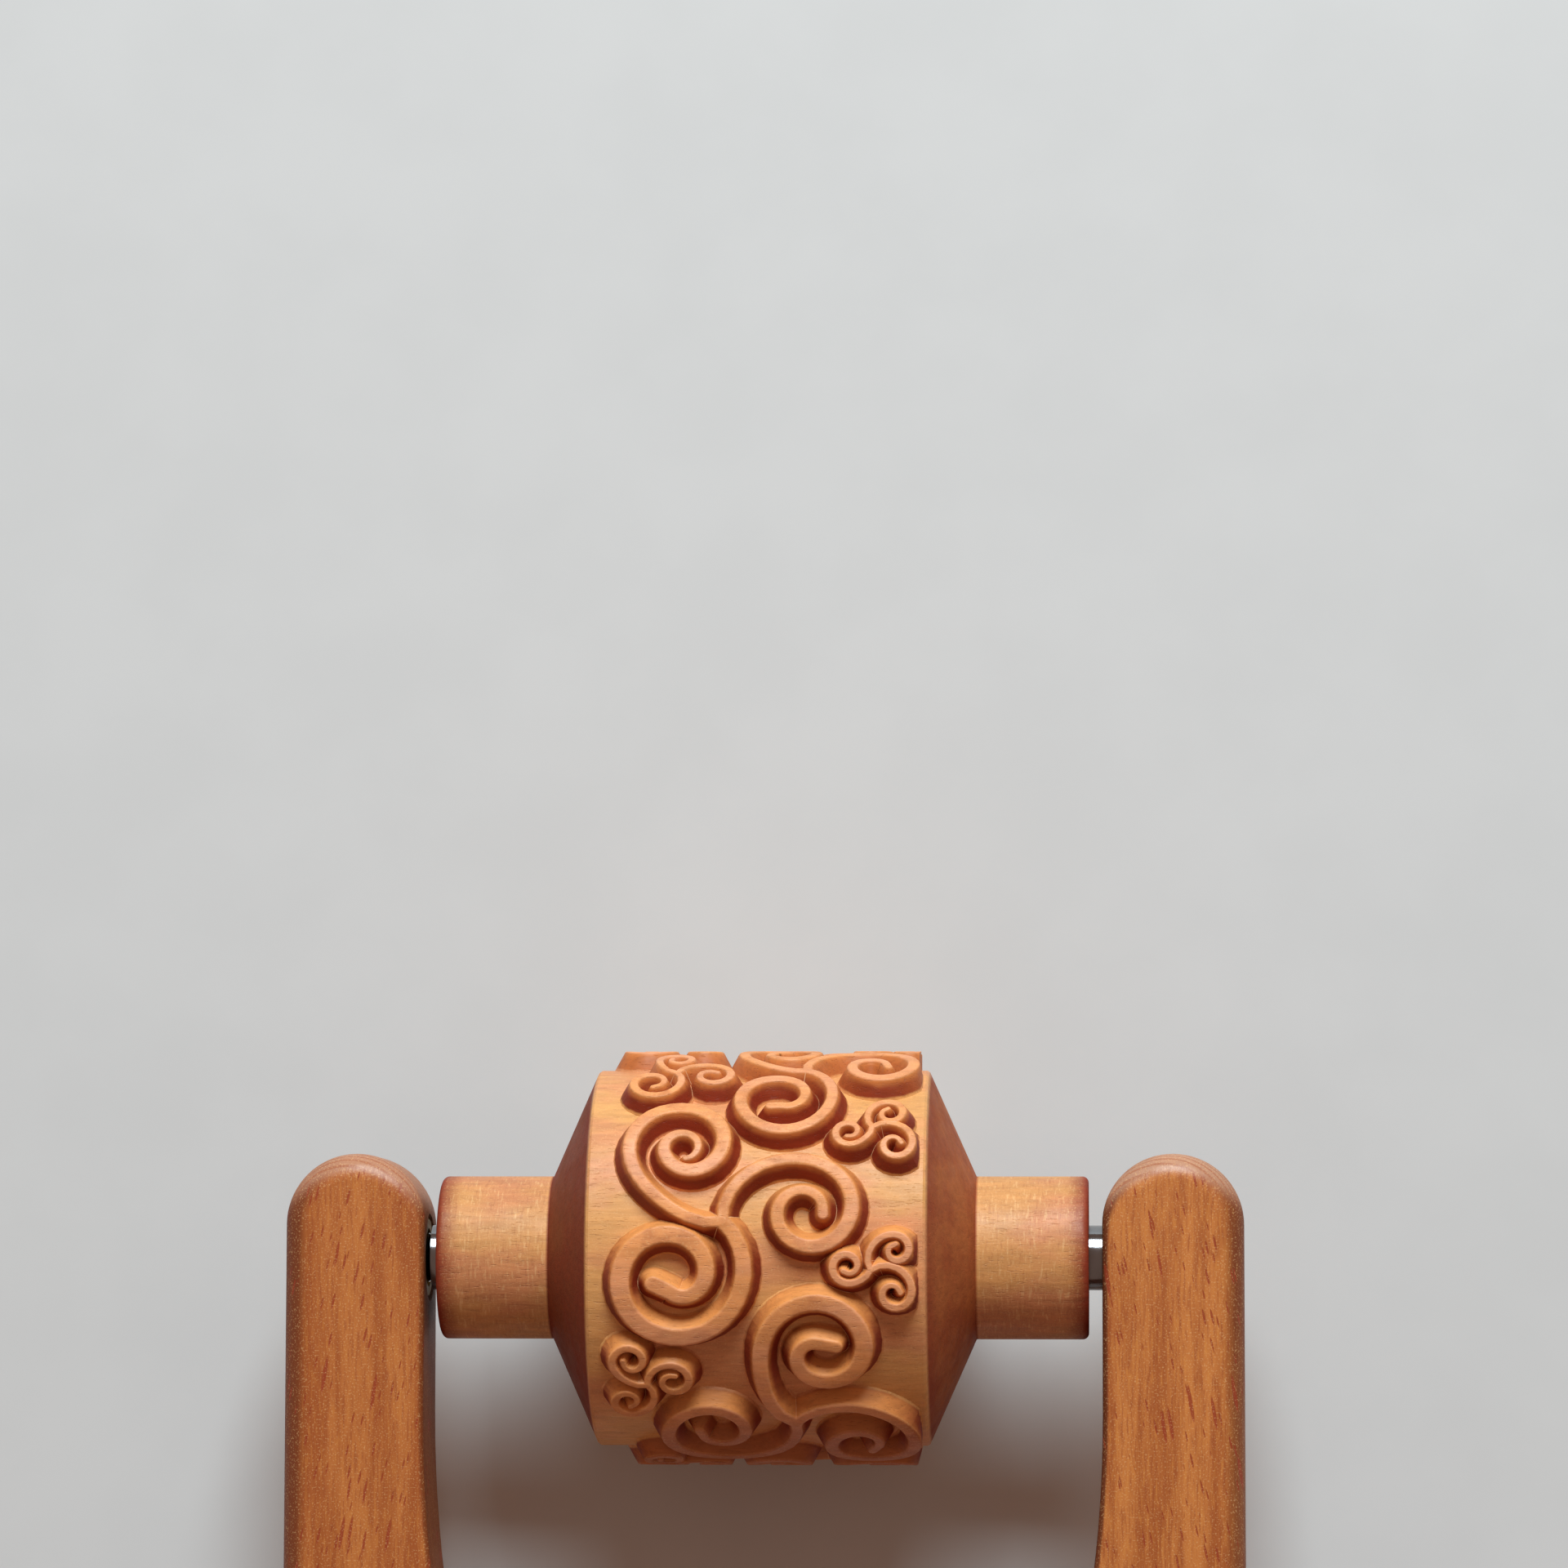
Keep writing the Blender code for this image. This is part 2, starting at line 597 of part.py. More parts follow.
def main():
    """Build the whole tool, lying on its drum and its grip."""
    clear_scene()
    parts = make_collection("clay_texture_roller")
    cutters = make_collection("cutters")
    outline = grip_outline()
    tilt = lying_tilt(outline)
    butt_radius, butt = outline[-1]
    butt_reach = butt * math.cos(tilt) + butt_radius * math.sin(tilt)
    axis_y = (butt_reach - RELIEF_RADIUS) / 2
    handle_frame = make_empty("handle_frame", parts, axis_y, tilt)
    roller_axis = make_empty("roller_axis", parts, axis_y)
    make_texture_roller(parts, cutters, roller_axis)
    make_bush("left", -1, parts, roller_axis)
    make_bush("right", 1, parts, roller_axis)
    make_axle(parts, cutters, handle_frame)
    make_axle_insert(parts, handle_frame)
    make_yoke(parts, cutters, handle_frame)
    make_grip(parts, handle_frame)
    make_dowel(parts, handle_frame)


main()
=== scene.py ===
"""Looks of a clay texture roller: a carved drum on a steel axle between the arms of an oiled beech yoke.

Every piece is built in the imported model's frame, in metres. Across is +X, along the axle. The handle's frame
starts on the axle's axis and is turned about it, so that its -Y runs down the middle of the grip.
"""

import json
import math
from collections import namedtuple

import bmesh
import bpy
from bpy.props import FloatProperty, FloatVectorProperty, IntProperty, PointerProperty
from mathutils import Matrix, Vector


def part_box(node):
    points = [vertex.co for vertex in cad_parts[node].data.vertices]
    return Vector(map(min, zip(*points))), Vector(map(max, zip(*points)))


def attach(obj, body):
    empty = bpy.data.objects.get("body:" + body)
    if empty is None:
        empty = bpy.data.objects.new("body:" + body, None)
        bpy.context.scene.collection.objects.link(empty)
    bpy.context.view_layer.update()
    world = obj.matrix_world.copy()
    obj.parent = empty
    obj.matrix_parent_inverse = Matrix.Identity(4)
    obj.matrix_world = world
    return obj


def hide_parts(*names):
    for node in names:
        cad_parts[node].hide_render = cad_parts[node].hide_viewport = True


bl_info = {
    "name": "Clay Texture Roller",
    "version": (1, 0, 0),
    "blender": (4, 5, 0),
    "location": "View3D > Sidebar > Texture Roller",
    "description": "Models and finishes a carved clay texture roller round its packed frame",
    "category": "Object",
}

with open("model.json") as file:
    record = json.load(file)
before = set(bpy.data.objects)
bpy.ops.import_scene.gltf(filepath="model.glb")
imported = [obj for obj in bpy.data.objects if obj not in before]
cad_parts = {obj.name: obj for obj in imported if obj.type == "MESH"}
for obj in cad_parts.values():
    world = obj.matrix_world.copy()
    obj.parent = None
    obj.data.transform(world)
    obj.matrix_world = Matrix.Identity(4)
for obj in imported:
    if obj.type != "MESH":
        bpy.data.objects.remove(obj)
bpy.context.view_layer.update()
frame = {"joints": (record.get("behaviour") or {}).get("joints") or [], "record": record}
AXIS = Vector(frame["joints"][0]["pos_m"])
YOKE_TOP_NORMAL = next(m["axis"] for m in frame["record"]["mounts"] if m["name"] == "yoke_top")
HANDLE_TILT = math.atan2(-YOKE_TOP_NORMAL[1], YOKE_TOP_NORMAL[2])
DRUM_HALF_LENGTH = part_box("texture_roller")[1].x
YOKE_HALF_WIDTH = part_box("yoke")[1].x
AXLE_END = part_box("axle")[1].x

# The handle's frame, the axle's with its Z along +X, and the grip's with its Z along the handle's -Y
HANDLE_PLACE = Matrix.Translation(AXIS) @ Matrix.Rotation(HANDLE_TILT, 4, "X")
AXLE_PLACE = Matrix.Translation(AXIS) @ Matrix.Rotation(math.radians(90.0), 4, "Y")
GRIP_PLACE = HANDLE_PLACE @ Matrix.Rotation(math.radians(90.0), 4, "X")

# Each row is one triple spiral of the relief: its junction, then its three curls. A place is a share of the
# face width from the middle and a share of a turn from the top. A curl's third number is its radius, as a
# share of the face width.
SPIRAL_SHARES = (
    ((-0.094, -0.018), (-0.216, -0.078, 0.159), (0.150, -0.028, 0.141), (-0.234, 0.029, 0.163)),
    ((0.141, -0.168), (0.062, -0.212, 0.119), (0.344, -0.181, 0.116), (0.075, -0.128, 0.128)),
    ((-0.250, -0.164), (-0.256, -0.191, 0.053), (-0.147, -0.161, 0.059), (-0.316, -0.149, 0.066)),
    ((0.344, -0.097), (0.278, -0.092, 0.044), (0.391, -0.111, 0.047), (0.412, -0.082, 0.050)),
    ((0.344, 0.019), (0.278, 0.017, 0.047), (0.416, 0.004, 0.044), (0.412, 0.036, 0.050)),
    ((0.113, 0.154), (0.181, 0.084, 0.159), (0.319, 0.184, 0.144), (-0.125, 0.171, 0.147)),
    ((-0.322, 0.113), (-0.372, 0.093, 0.053), (-0.250, 0.109, 0.053), (-0.378, 0.130, 0.050)),
    ((-0.263, 0.250), (-0.291, 0.225, 0.055), (-0.159, 0.246, 0.053), (-0.322, 0.268, 0.062)),
    ((0.237, 0.291), (0.059, 0.249, 0.097), (0.369, 0.259, 0.084), (0.188, 0.329, 0.100)),
    ((-0.191, 0.344), (-0.322, 0.329, 0.066), (-0.100, 0.313, 0.066), (-0.156, 0.371, 0.081)),
    ((-0.291, 0.428), (-0.322, 0.397, 0.059), (-0.184, 0.424, 0.056), (-0.347, 0.443, 0.062)),
    ((-0.056, 0.469), (-0.141, 0.463, 0.041), (-0.016, 0.448, 0.041), (-0.016, 0.483, 0.047)),
    ((0.244, 0.435), (0.113, 0.396, 0.084), (0.369, 0.416, 0.078), (0.178, 0.466, 0.091)),
    ((-0.022, 0.591), (-0.212, 0.538, 0.131), (0.200, 0.553, 0.125), (-0.078, 0.653, 0.134)),
    ((-0.294, -0.255), (-0.322, -0.280, 0.056), (-0.197, -0.250, 0.056), (-0.359, -0.238, 0.062)),
    ((0.294, -0.313), (0.175, -0.353, 0.072), (0.403, -0.336, 0.072), (0.237, -0.279, 0.078)),
    ((0.381, -0.249), (0.319, -0.244, 0.041), (0.428, -0.264, 0.044), (0.434, -0.234, 0.044)),
    ((-0.353, -0.352), (-0.403, -0.372, 0.050), (-0.281, -0.356, 0.050), (-0.409, -0.336, 0.050)),
)

# Stations of the turned grip: how far back as a share of its length, and the radius as a share of its belly
GRIP_SHARES = (
    (0.000, 0.66), (0.070, 0.67), (0.200, 0.62), (0.420, 0.82), (0.660, 1.00), (0.850, 0.95), (0.960, 0.78),
    (1.000, 0.50),
)

WELD = 0.000001
CUT_OVERRUN = 0.001
SMOOTH_ANGLE = math.radians(32.0)


def length(name, description, default):
    """A length property in metres."""
    return FloatProperty(name=name, description=description, default=default, unit="LENGTH", precision=5)


def colour(name, description, default):
    """A linear colour property."""
    return FloatVectorProperty(
        name=name, description=description, default=(*default, 1.0), subtype="COLOR", size=4, min=0.0, max=1.0
    )


class DrumSizes(bpy.types.PropertyGroup):
    """Sizes of the turned drum and of its carved relief."""

    face_width: length("Face width", "Width of the printing face", 0.032)
    ground_radius: length("Ground radius", "Radius of the face between the ridges", 0.0182)
    chamfer_length: length("Chamfer length", "Length of the slope from the face down to a stub", 0.0046)
    stub_radius: length("Stub radius", "Radius of the plain ends", 0.0079)
    stub_round: length("Stub rounding", "Rounding of each stub's end edge", 0.0006)
    bore_radius: length("Bore radius", "Radius of the bore between the bushes", 0.0040)
    relief_height: length("Relief height", "Height of the ridges above the ground", 0.0019)
    ridge_round: length("Ridge rounding", "Rounding of the ridges' top edges", 0.00034)
    ridge_least: length("Least ridge", "Half width that the narrowest ridge starts from", 0.00016)
    ridge_share: FloatProperty(
        name="Ridge share", description="Half width gained with a curl's radius", default=0.088
    )
    cutter_slope: FloatProperty(
        name="Cutter slope", description="Slope of the cutter's side, and so of the walls", subtype="ANGLE",
        default=math.radians(29.0),
    )
    drum_steps: IntProperty(name="Drum steps", description="Facets round the drum", default=180, min=24)
    curl_steps: IntProperty(name="Curl steps", description="Facets in a large curl's turn", default=32, min=8)


class AxleSizes(bpy.types.PropertyGroup):
    """Sizes of the axle, its bushes and its insert."""

    axle_radius: length("Axle radius", "Radius of the steel rod", 0.00315)
    axle_edge: length("Axle edge", "Chamfer of the rod's ends", 0.0004)
    slot_width: length("Slot width", "Width of the screwdriver slot", 0.0012)
    slot_depth: length("Slot depth", "Depth of the screwdriver slot", 0.0014)
    stud_radius: length("Stud radius", "Radius over the stud's thread", 0.0024)
    thread_pitch: length("Thread pitch", "Pitch of the stud's thread", 0.0008)
    thread_depth: length("Thread depth", "Depth of the stud's thread", 0.0003)
    bush_bore: length("Bush bore", "Radius of the bushes' bore", 0.00325)
    bush_wall: length("Bush wall", "Wall of the bushes", 0.0013)
    insert_bore: length("Insert bore", "Radius of the insert's bore", 0.00255)
    insert_wall: length("Insert wall", "Wall of the insert over its barbs", 0.0014)
    piece_edge: length("Edge", "Chamfer of the small turned pieces", 0.00025)


class HandleSizes(bpy.types.PropertyGroup):
    """Sizes of the yoke, the grip and the dowel, in the handle's frame."""

    arm_width: length("Arm width", "Width of each arm", 0.0137)
    board_thickness: length("Board thickness", "Thickness of the yoke's board", 0.012)
    arm_reach: length("Arm reach", "How far the arms run past the axle", 0.010)
    throat_straight: length("Throat straight", "Straight length of the arms' inner sides", 0.015)
    throat_depth: length("Throat depth", "From the axle to the bottom of the throat", 0.080)
    outer_straight: length("Outer straight", "Straight length of the arms' outer sides", 0.032)
    seat_depth: length("Seat depth", "From the axle to the seat of the grip", 0.097)
    seat_half_width: length("Seat half width", "Half the width of the seat", 0.013)
    outer_round: length("Outer rounding", "Rounding of the board's outer edges", 0.0026)
    inner_round: length("Inner rounding", "Rounding of the throat's edges", 0.0006)
    grip_length: length("Grip length", "Length of the turned grip", 0.075)
    grip_radius: length("Grip radius", "Radius of the grip's belly", 0.0135)
    seat_gap: length("Seat gap", "Glue gap between joined pieces", 0.0003)
    hole_clearance: length("Hole clearance", "Radial clearance of the axle in its arm", 0.00015)
    insert_length: length("Insert length", "Length of the threaded insert", 0.0095)
    insert_hole_bottom: length("Insert hole bottom", "Depth of the insert's hole below it", 0.0006)
    dowel_radius: length("Dowel radius", "Radius of the dowel", 0.004)
    dowel_in_yoke: length("Dowel in yoke", "Length of the dowel in the yoke", 0.0125)
    dowel_in_grip: length("Dowel in grip", "Length of the dowel in the grip", 0.021)


class FinishColours(bpy.types.PropertyGroup):
    """Colours of the woods and metals."""

    ground: colour("Drum ground", "Turned face between the ridges", (0.71, 0.350, 0.118))
    ground_pink: colour("Drum ground, pink", "Pinker patches of the drum", (0.68, 0.285, 0.120))
    ridge_top: colour("Ridge tops", "Oiled tops of the ridges", (0.78, 0.315, 0.108))
    ridge_pink: colour("Ridge tops, pink", "Pinker patches of the ridge tops", (0.79, 0.345, 0.185))
    # Colour of the upper walls, also laid on as painted light on the walls that lie towards the key lamp at
    # rest
    wall_gold_and_light: colour("Upper walls", "Walls near the ridges' top edges", (0.62, 0.205, 0.052))
    valley_line: colour("Valley lines", "Raw wood that shows where two walls meet", (0.88, 0.58, 0.34))
    # Painted light: the colour of upper walls that face the key lamp at rest
    worn: colour("Worn walls", "Walls that lead as the drum rolls, worn pale by clay", (0.80, 0.320, 0.090))
    # Scorch of the cut walls, also laid on as painted shade where the relief lies towards the grip at rest
    burnt_and_shade: colour("Burnt walls", "Walls that the cutter has scorched", (0.24, 0.028, 0.009))
    chamfer_left: colour("Left chamfer", "End grain of the left chamfer, dark with oil", (0.22, 0.046, 0.012))
    chamfer_right: colour("Right chamfer", "End grain of the right chamfer", (0.40, 0.115, 0.030))
    beech: colour("Beech", "Oiled beech of the handle", (0.58, 0.202, 0.050))
    beech_dark: colour("Beech, dark", "Darker streaks of the beech", (0.335, 0.077, 0.0165))
    beech_gold: colour("Beech, golden", "Pale streaks of the beech", (0.68, 0.27, 0.062))
    beech_glint: colour("Glints", "Tiny points where the wood catches the light", (0.88, 0.56, 0.26))
    # Painted shade on the handle's sides that face left or right
    beech_side_shade: colour("Beech sides", "Sides that the hand has darkened", (0.15, 0.034, 0.010))
    beech_fleck: colour("Beech flecks", "Short rays in the beech", (0.32, 0.048, 0.016))
    # End grain, painted paler near the arms' tips as painted light where they face the key lamp
    beech_end_and_light: colour("Beech end grain", "Paler wood round the arms' ends", (0.50, 0.275, 0.175))
    steel: colour("Steel", "Polished steel of the axle", (0.29, 0.295, 0.31))
    brass: colour("Brass", "Machined brass of the insert", (0.50, 0.34, 0.13))
    bronze: colour("Bronze", "Bearing bronze of the bushes", (0.56, 0.36, 0.17))
    dowel: colour("Dowel", "Bare wood of the dowel", (0.62, 0.44, 0.26))
    floor: colour("Floor", "Plain pale floor", (0.61, 0.635, 0.645))


class StageSettings(bpy.types.PropertyGroup):
    """The camera, the lamps and the floor."""

    camera_height: length("Camera height", "Height of the camera above the axle", 0.600)
    camera_right: length("Camera right", "How far the camera is to the right of the drum's middle", 0.0334)
    camera_back: length("Camera back", "How far the camera is behind the axle", 0.036)
    focal_px: FloatProperty(
        name="Focal length", description="Focal length in pixels of the photograph", default=7539.0
    )
    key_distance: length("Key distance", "Distance of the soft box from the drum", 1.20)
    key_size: length("Key size", "Side of the soft box", 0.58)
    key_power: FloatProperty(
        name="Key power", description="Power of the soft box in watts", default=16.3, unit="POWER"
    )
    fill_strength: FloatProperty(name="Fill strength", description="Strength of the room light", default=0.28)


def settings(*kinds):
    """The scene's groups of settings, by their kinds."""
    return [getattr(bpy.context.scene, "roller_" + kind) for kind in kinds]


# Meshes


def placed(name, data):
    """A new object in the scene."""
    obj = bpy.data.objects.new(name, data)
    bpy.context.scene.collection.objects.link(obj)
    return obj


def finish_piece(name, mesh, material, body, node):
    """Link a finished mesh, shade it, and let it stand for its CAD node."""
    mesh.shade_smooth()
    mesh.set_sharp_from_angle(angle=SMOOTH_ANGLE)
    mesh.materials.clear()
    mesh.materials.append(material)
    piece = placed(name, mesh)
    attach(piece, body)
    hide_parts(node)


def mesh_of(bm, name):
    """A mesh from a finished bmesh, which it frees."""
    mesh = bpy.data.meshes.new(name)
    bm.to_mesh(mesh)
    bm.free()
    return mesh


def spun(profile, steps, place, closed=False):
    """A bmesh turned from (radius, height) points about the local Z axis, then put in place."""
    bm = bmesh.new()
    verts = [bmesh.ops.create_vert(bm, co=(radius, 0.0, height))["vert"][0] for radius, height in profile]
    ring = verts + verts[:1] if closed else verts
    edges = [bm.edges.new(pair) for pair in zip(ring, ring[1:])]
    bmesh.ops.spin(
        bm, geom=verts + edges, cent=(0, 0, 0), axis=(0, 0, 1), angle=math.tau, steps=steps, use_merge=True
    )
    bmesh.ops.remove_doubles(bm, verts=bm.verts, dist=WELD)
    bmesh.ops.recalc_face_normals(bm, faces=bm.faces)
    bmesh.ops.transform(bm, matrix=place, verts=bm.verts)
    return bm


def arc(centre_radius, centre_height, rounding, start, sweep, steps):
    """Profile points round a centre, from a start angle through a sweep."""
    angles = [start + sweep * i / steps for i in range(steps + 1)]
    return [(centre_radius + rounding * math.cos(a), centre_height + rounding * math.sin(a)) for a in angles]


def applied(obj, *helpers):
    """An object's mesh with its modifiers applied. The object and its helpers are removed."""
    evaluated = obj.evaluated_get(bpy.context.evaluated_depsgraph_get())
    result = bpy.data.meshes.new_from_object(evaluated)
    result.name = obj.data.name
    for used in (obj, *helpers):
        data = used.data
        bpy.data.objects.remove(used)
        bpy.data.meshes.remove(data)
    return result


def with_booleans(mesh, operands, operation, self_crossing=False):
    """A new mesh: the first one joined with or cut by others, by the exact solver."""
    obj = placed("carcass", mesh)
    helpers = [placed("operand", operand) for operand in operands]
    for helper in helpers:
        boolean = obj.modifiers.new("cut", "BOOLEAN")
        boolean.operation = operation
        boolean.solver = "EXACT"
        boolean.use_self = self_crossing
        boolean.object = helper
    return applied(obj, *helpers)


# The carved drum


RIDGE_ROOT = 0.0003
RIDGE_ROUND_SHARE = 0.55
RIDGE_ROUND_STEPS = 4
RIDGE_TOP_STEP = 0.00001
RIDGE_EDGE_STEP = 0.00001
END_STEPS = 5
BEND_ROOM_SHARE = 0.9
EYE_REACH = 0.40
APPROACH_POWER = 1.5
LARGE_CURL_SHARE = 0.07
SMALL_STEPS_SHARE = 0.63
ARM_APPROACH_TURNS = (0.10, 0.18, 0.20)
FACE_EDGE_ROUND = 0.00015
STUB_ROUND_STEPS = 6
BUSH_SEAT_GAP = 0.0003

# A ridge is thinner at its start, fullest on its outer turn, and tapers from a share of its way
RIDGE_LEAST_FULL = 0.80
RIDGE_FULL_GAIN = 0.25
RIDGE_FULL_SPAN = 1.35
RIDGE_TAPER_START = 0.6

# How a curl winds: its turns held open, its turns of closing, the share of its radius at its eye, its turns
# in all, and its ridge's half width and the share of it left at the tip. A curl with a last share winds on to
# it in its last turns. The others run straight into their eye.
Winding = namedtuple("Winding", "hold wind eye turns half_width tip last", defaults=(None,))

# The curls that are seen best have windings of their own, by the spiral's place in the table and the arm's
OWN_WINDINGS = {
    (0, 0): Winding(0.45, 0.85, 0.36, 2.04, 0.00060, 0.45, last=0.25),
    (0, 1): Winding(0.40, 1.00, 0.37, 1.58, 0.00060, 0.90),
    (0, 2): Winding(0.70, 0.80, 0.19, 1.64, 0.00080, 1.12),
    (1, 2): Winding(0.65, 0.85, 0.25, 1.57, 0.00052, 0.90),
    (5, 0): Winding(0.45, 1.05, 0.19, 1.66, 0.00074, 0.90),
}


def curl_line(junction, curl, approach, winding, steps):
    """Middle line of one spiral arm, unrolled flat: from the junction and round its curl into the eye."""
    across, around, radius = curl
    reach = math.hypot(junction[0] - across, junction[1] - around)
    start = math.atan2(junction[1] - around, junction[0] - across)
    straight = math.acos(min(winding.eye / EYE_REACH, 1.0))
    line = []
    for i in range(steps + 1):
        turned_by = winding.turns * i / steps
        wound = min(max((turned_by - winding.hold) / winding.wind, 0.0), 1.0)
        closing = winding.eye + (1 - winding.eye) * (1 + math.cos(math.pi * wound)) / 2
        if winding.last is None:
            leaving = max(straight - math.tau * (winding.turns - turned_by), 0.0)
            closing /= math.cos(leaving)
        else:
            closed_at = winding.hold + winding.wind
            inner = max(turned_by - closed_at, 0.0) / (winding.turns - closed_at)
            closing += (winding.last - winding.eye) * inner
        run_in = (reach - radius) * math.exp(-((turned_by / approach) ** APPROACH_POWER))
        distance = radius * closing + run_in
        angle = start + math.tau * turned_by
        line.append(Vector((across + distance * math.cos(angle), around + distance * math.sin(angle))))
    return line


def ridge_section(drum, half_width, top):
    """Closed section of a ridge as (offset, height) points: its root, sloping walls and rounded top edges."""
    slope = drum.cutter_slope
    rounding = min(drum.ridge_round, half_width * RIDGE_ROUND_SHARE)
    sweep = math.pi / 2 - slope
    tangent = rounding * math.tan(sweep / 2)
    right = [(half_width + (top + RIDGE_ROOT) * math.tan(slope), -RIDGE_ROOT)]
    right += arc(half_width - tangent, top - rounding, rounding, slope, sweep, RIDGE_ROUND_STEPS)
    left = [(-offset, height) for offset, height in reversed(right)]
    return [(0.0, -RIDGE_ROOT)] + right + [(0.0, top)] + left


def bend_at(line, i):
    """Curvature of a line at a point, positive where it bends to its left, and none at its ends."""
    if i in (0, len(line) - 1):
        return 0.0
    before = line[i] - line[i - 1]
    after = line[i + 1] - line[i]
    return -before.angle_signed(after) * 2 / (before.length + after.length)


def ridge_rows(drum, line, widths, top, limit):
    """The places of the section along a ridge, swung round at both ends so that the ridge ends round."""
    last = len(line) - 1
    stops = [(0, -1, END_STEPS - k) for k in range(END_STEPS)]
    stops += [(i, 1, 0) for i in range(last + 1)]
    stops += [(last, 1, k + 1) for k in range(END_STEPS)]
    rows = []
    for i, way, swing in stops:
        run = (line[min(i + 1, last)] - line[max(i - 1, 0)]).normalized()
        side = Vector((-run.y, run.x))
        swung = math.pi / 2 * swing / END_STEPS
        bend = bend_at(line, i)
        row = []
        for offset, height in ridge_section(drum, widths[i], top):
            held = offset
            if offset * bend > 0:
                held = math.copysign(min(abs(offset), BEND_ROOM_SHARE / abs(bend)), offset)
            place = line[i] + side * (held * math.cos(swung)) + run * (way * abs(held) * math.sin(swung))
            row.append((min(max(place.x, -limit), limit), place.y, height))
        rows.append(row)
    return rows


def winding_of(drum, spiral, arm, radius_share):
    """A curl's own winding, or the usual one for its size."""
    if (spiral, arm) in OWN_WINDINGS:
        return OWN_WINDINGS[spiral, arm]
    half_width = drum.ridge_least + drum.ridge_share * radius_share * drum.face_width
    if radius_share > LARGE_CURL_SHARE:
        return Winding(0.50, 0.95, 0.28, 1.62, half_width, 0.85)
    return Winding(0.40, 0.95, 0.34, 1.38, half_width, 0.80)


def ridge_widths(winding, steps):
    """Half widths along a ridge: fuller on the outer turn, and tapered to the tip."""
    widths = []
    for i in range(steps + 1):
        share = i / steps
        fullness = RIDGE_LEAST_FULL + RIDGE_FULL_GAIN * math.sin(math.pi * min(share * RIDGE_FULL_SPAN, 1.0))
        taper = 1.0 + (winding.tip - 1.0) * max(share - RIDGE_TAPER_START, 0.0) / (1.0 - RIDGE_TAPER_START)
        widths.append(winding.half_width * fullness * taper)
    return widths


def ridge_mesh(drum, rows):
    """One ridge: a grid bent to its rows, closed and wrapped on the drum."""
    bm = bmesh.new()
    long_steps = len(rows) - 1
    round_steps = len(rows[0])
    bmesh.ops.create_grid(bm, x_segments=long_steps, y_segments=round_steps, size=1.0)
    relief_radius = drum.ground_radius + drum.relief_height
    for vert in bm.verts:
        i = round((vert.co.x + 1) / 2 * long_steps)
        j = round((vert.co.y + 1) / 2 * round_steps) % round_steps
        across, around, height = rows[i][j]
        angle = around / relief_radius
        radius = drum.ground_radius + height
        vert.co = (AXIS.x + across, AXIS.y - radius * math.sin(angle), AXIS.z + radius * math.cos(angle))
    bmesh.ops.remove_doubles(bm, verts=bm.verts, dist=WELD)
    bmesh.ops.dissolve_degenerate(bm, dist=WELD / 2, edges=bm.edges)
    bmesh.ops.recalc_face_normals(bm, faces=bm.faces)
    return mesh_of(bm, "ridge")


def relief_mesh(drum):
    """All the ridges of the relief in one mesh."""
    turn_length = math.tau * (drum.ground_radius + drum.relief_height)
    limit = drum.face_width / 2 - 2 * FACE_EDGE_ROUND
    relief = bmesh.new()
    for spiral, (junction_share, *curl_shares) in enumerate(SPIRAL_SHARES):
        junction = (junction_share[0] * drum.face_width, junction_share[1] * turn_length)
        for arm, (across_share, around_share, radius_share) in enumerate(curl_shares):
            middle = (across_share * drum.face_width, around_share * turn_length)
            curl = (*middle, radius_share * drum.face_width)
            winding = winding_of(drum, spiral, arm, radius_share)
            fineness = 1.0 if radius_share > LARGE_CURL_SHARE else SMALL_STEPS_SHARE
            steps = round(winding.turns * drum.curl_steps * fineness)
            line = curl_line(junction, curl, ARM_APPROACH_TURNS[arm], winding, steps)
            top = drum.relief_height - RIDGE_TOP_STEP * arm
            edge = limit - RIDGE_EDGE_STEP * (3 * spiral + arm)
            ridge = ridge_mesh(drum, ridge_rows(drum, line, ridge_widths(winding, steps), top, edge))
            relief.from_mesh(ridge)
            bpy.data.meshes.remove(ridge)
    return mesh_of(relief, "relief")


def drum_profile(drum, axle):
    """Closed profile of the drum: its ends, stubs, chamfers and face, then back through the stepped bore."""
    half_face = drum.face_width / 2
    chamfer_end = half_face + drum.chamfer_length
    seat_radius = axle.bush_bore + axle.bush_wall + BUSH_SEAT_GAP
    seat_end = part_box("roller_bush_right")[0].x - BUSH_SEAT_GAP
    corner = (drum.stub_radius - drum.stub_round, DRUM_HALF_LENGTH - drum.stub_round)
    half = arc(*corner, drum.stub_round, math.pi / 2, -math.pi / 2, STUB_ROUND_STEPS)
    half += [
        (drum.stub_radius, chamfer_end),
        (drum.ground_radius - FACE_EDGE_ROUND, half_face + FACE_EDGE_ROUND / 2),
        (drum.ground_radius, half_face - FACE_EDGE_ROUND),
    ]
    bore = [(drum.bore_radius, seat_end), (seat_radius, seat_end), (seat_radius, DRUM_HALF_LENGTH)]
    mirrored = [(radius, -height) for radius, height in reversed(half)]
    back = [(radius, -height) for radius, height in reversed(bore)]
    return half + mirrored + back + bore


VALLEY_ANGLE = math.radians(20.0)
WALL_UPRIGHT = 0.95


def from_axis(vert):
    """A vertex's way from the nearest point of the drum's axis."""
    return Vector((0.0, vert.co.y - AXIS.y, vert.co.z - AXIS.z))


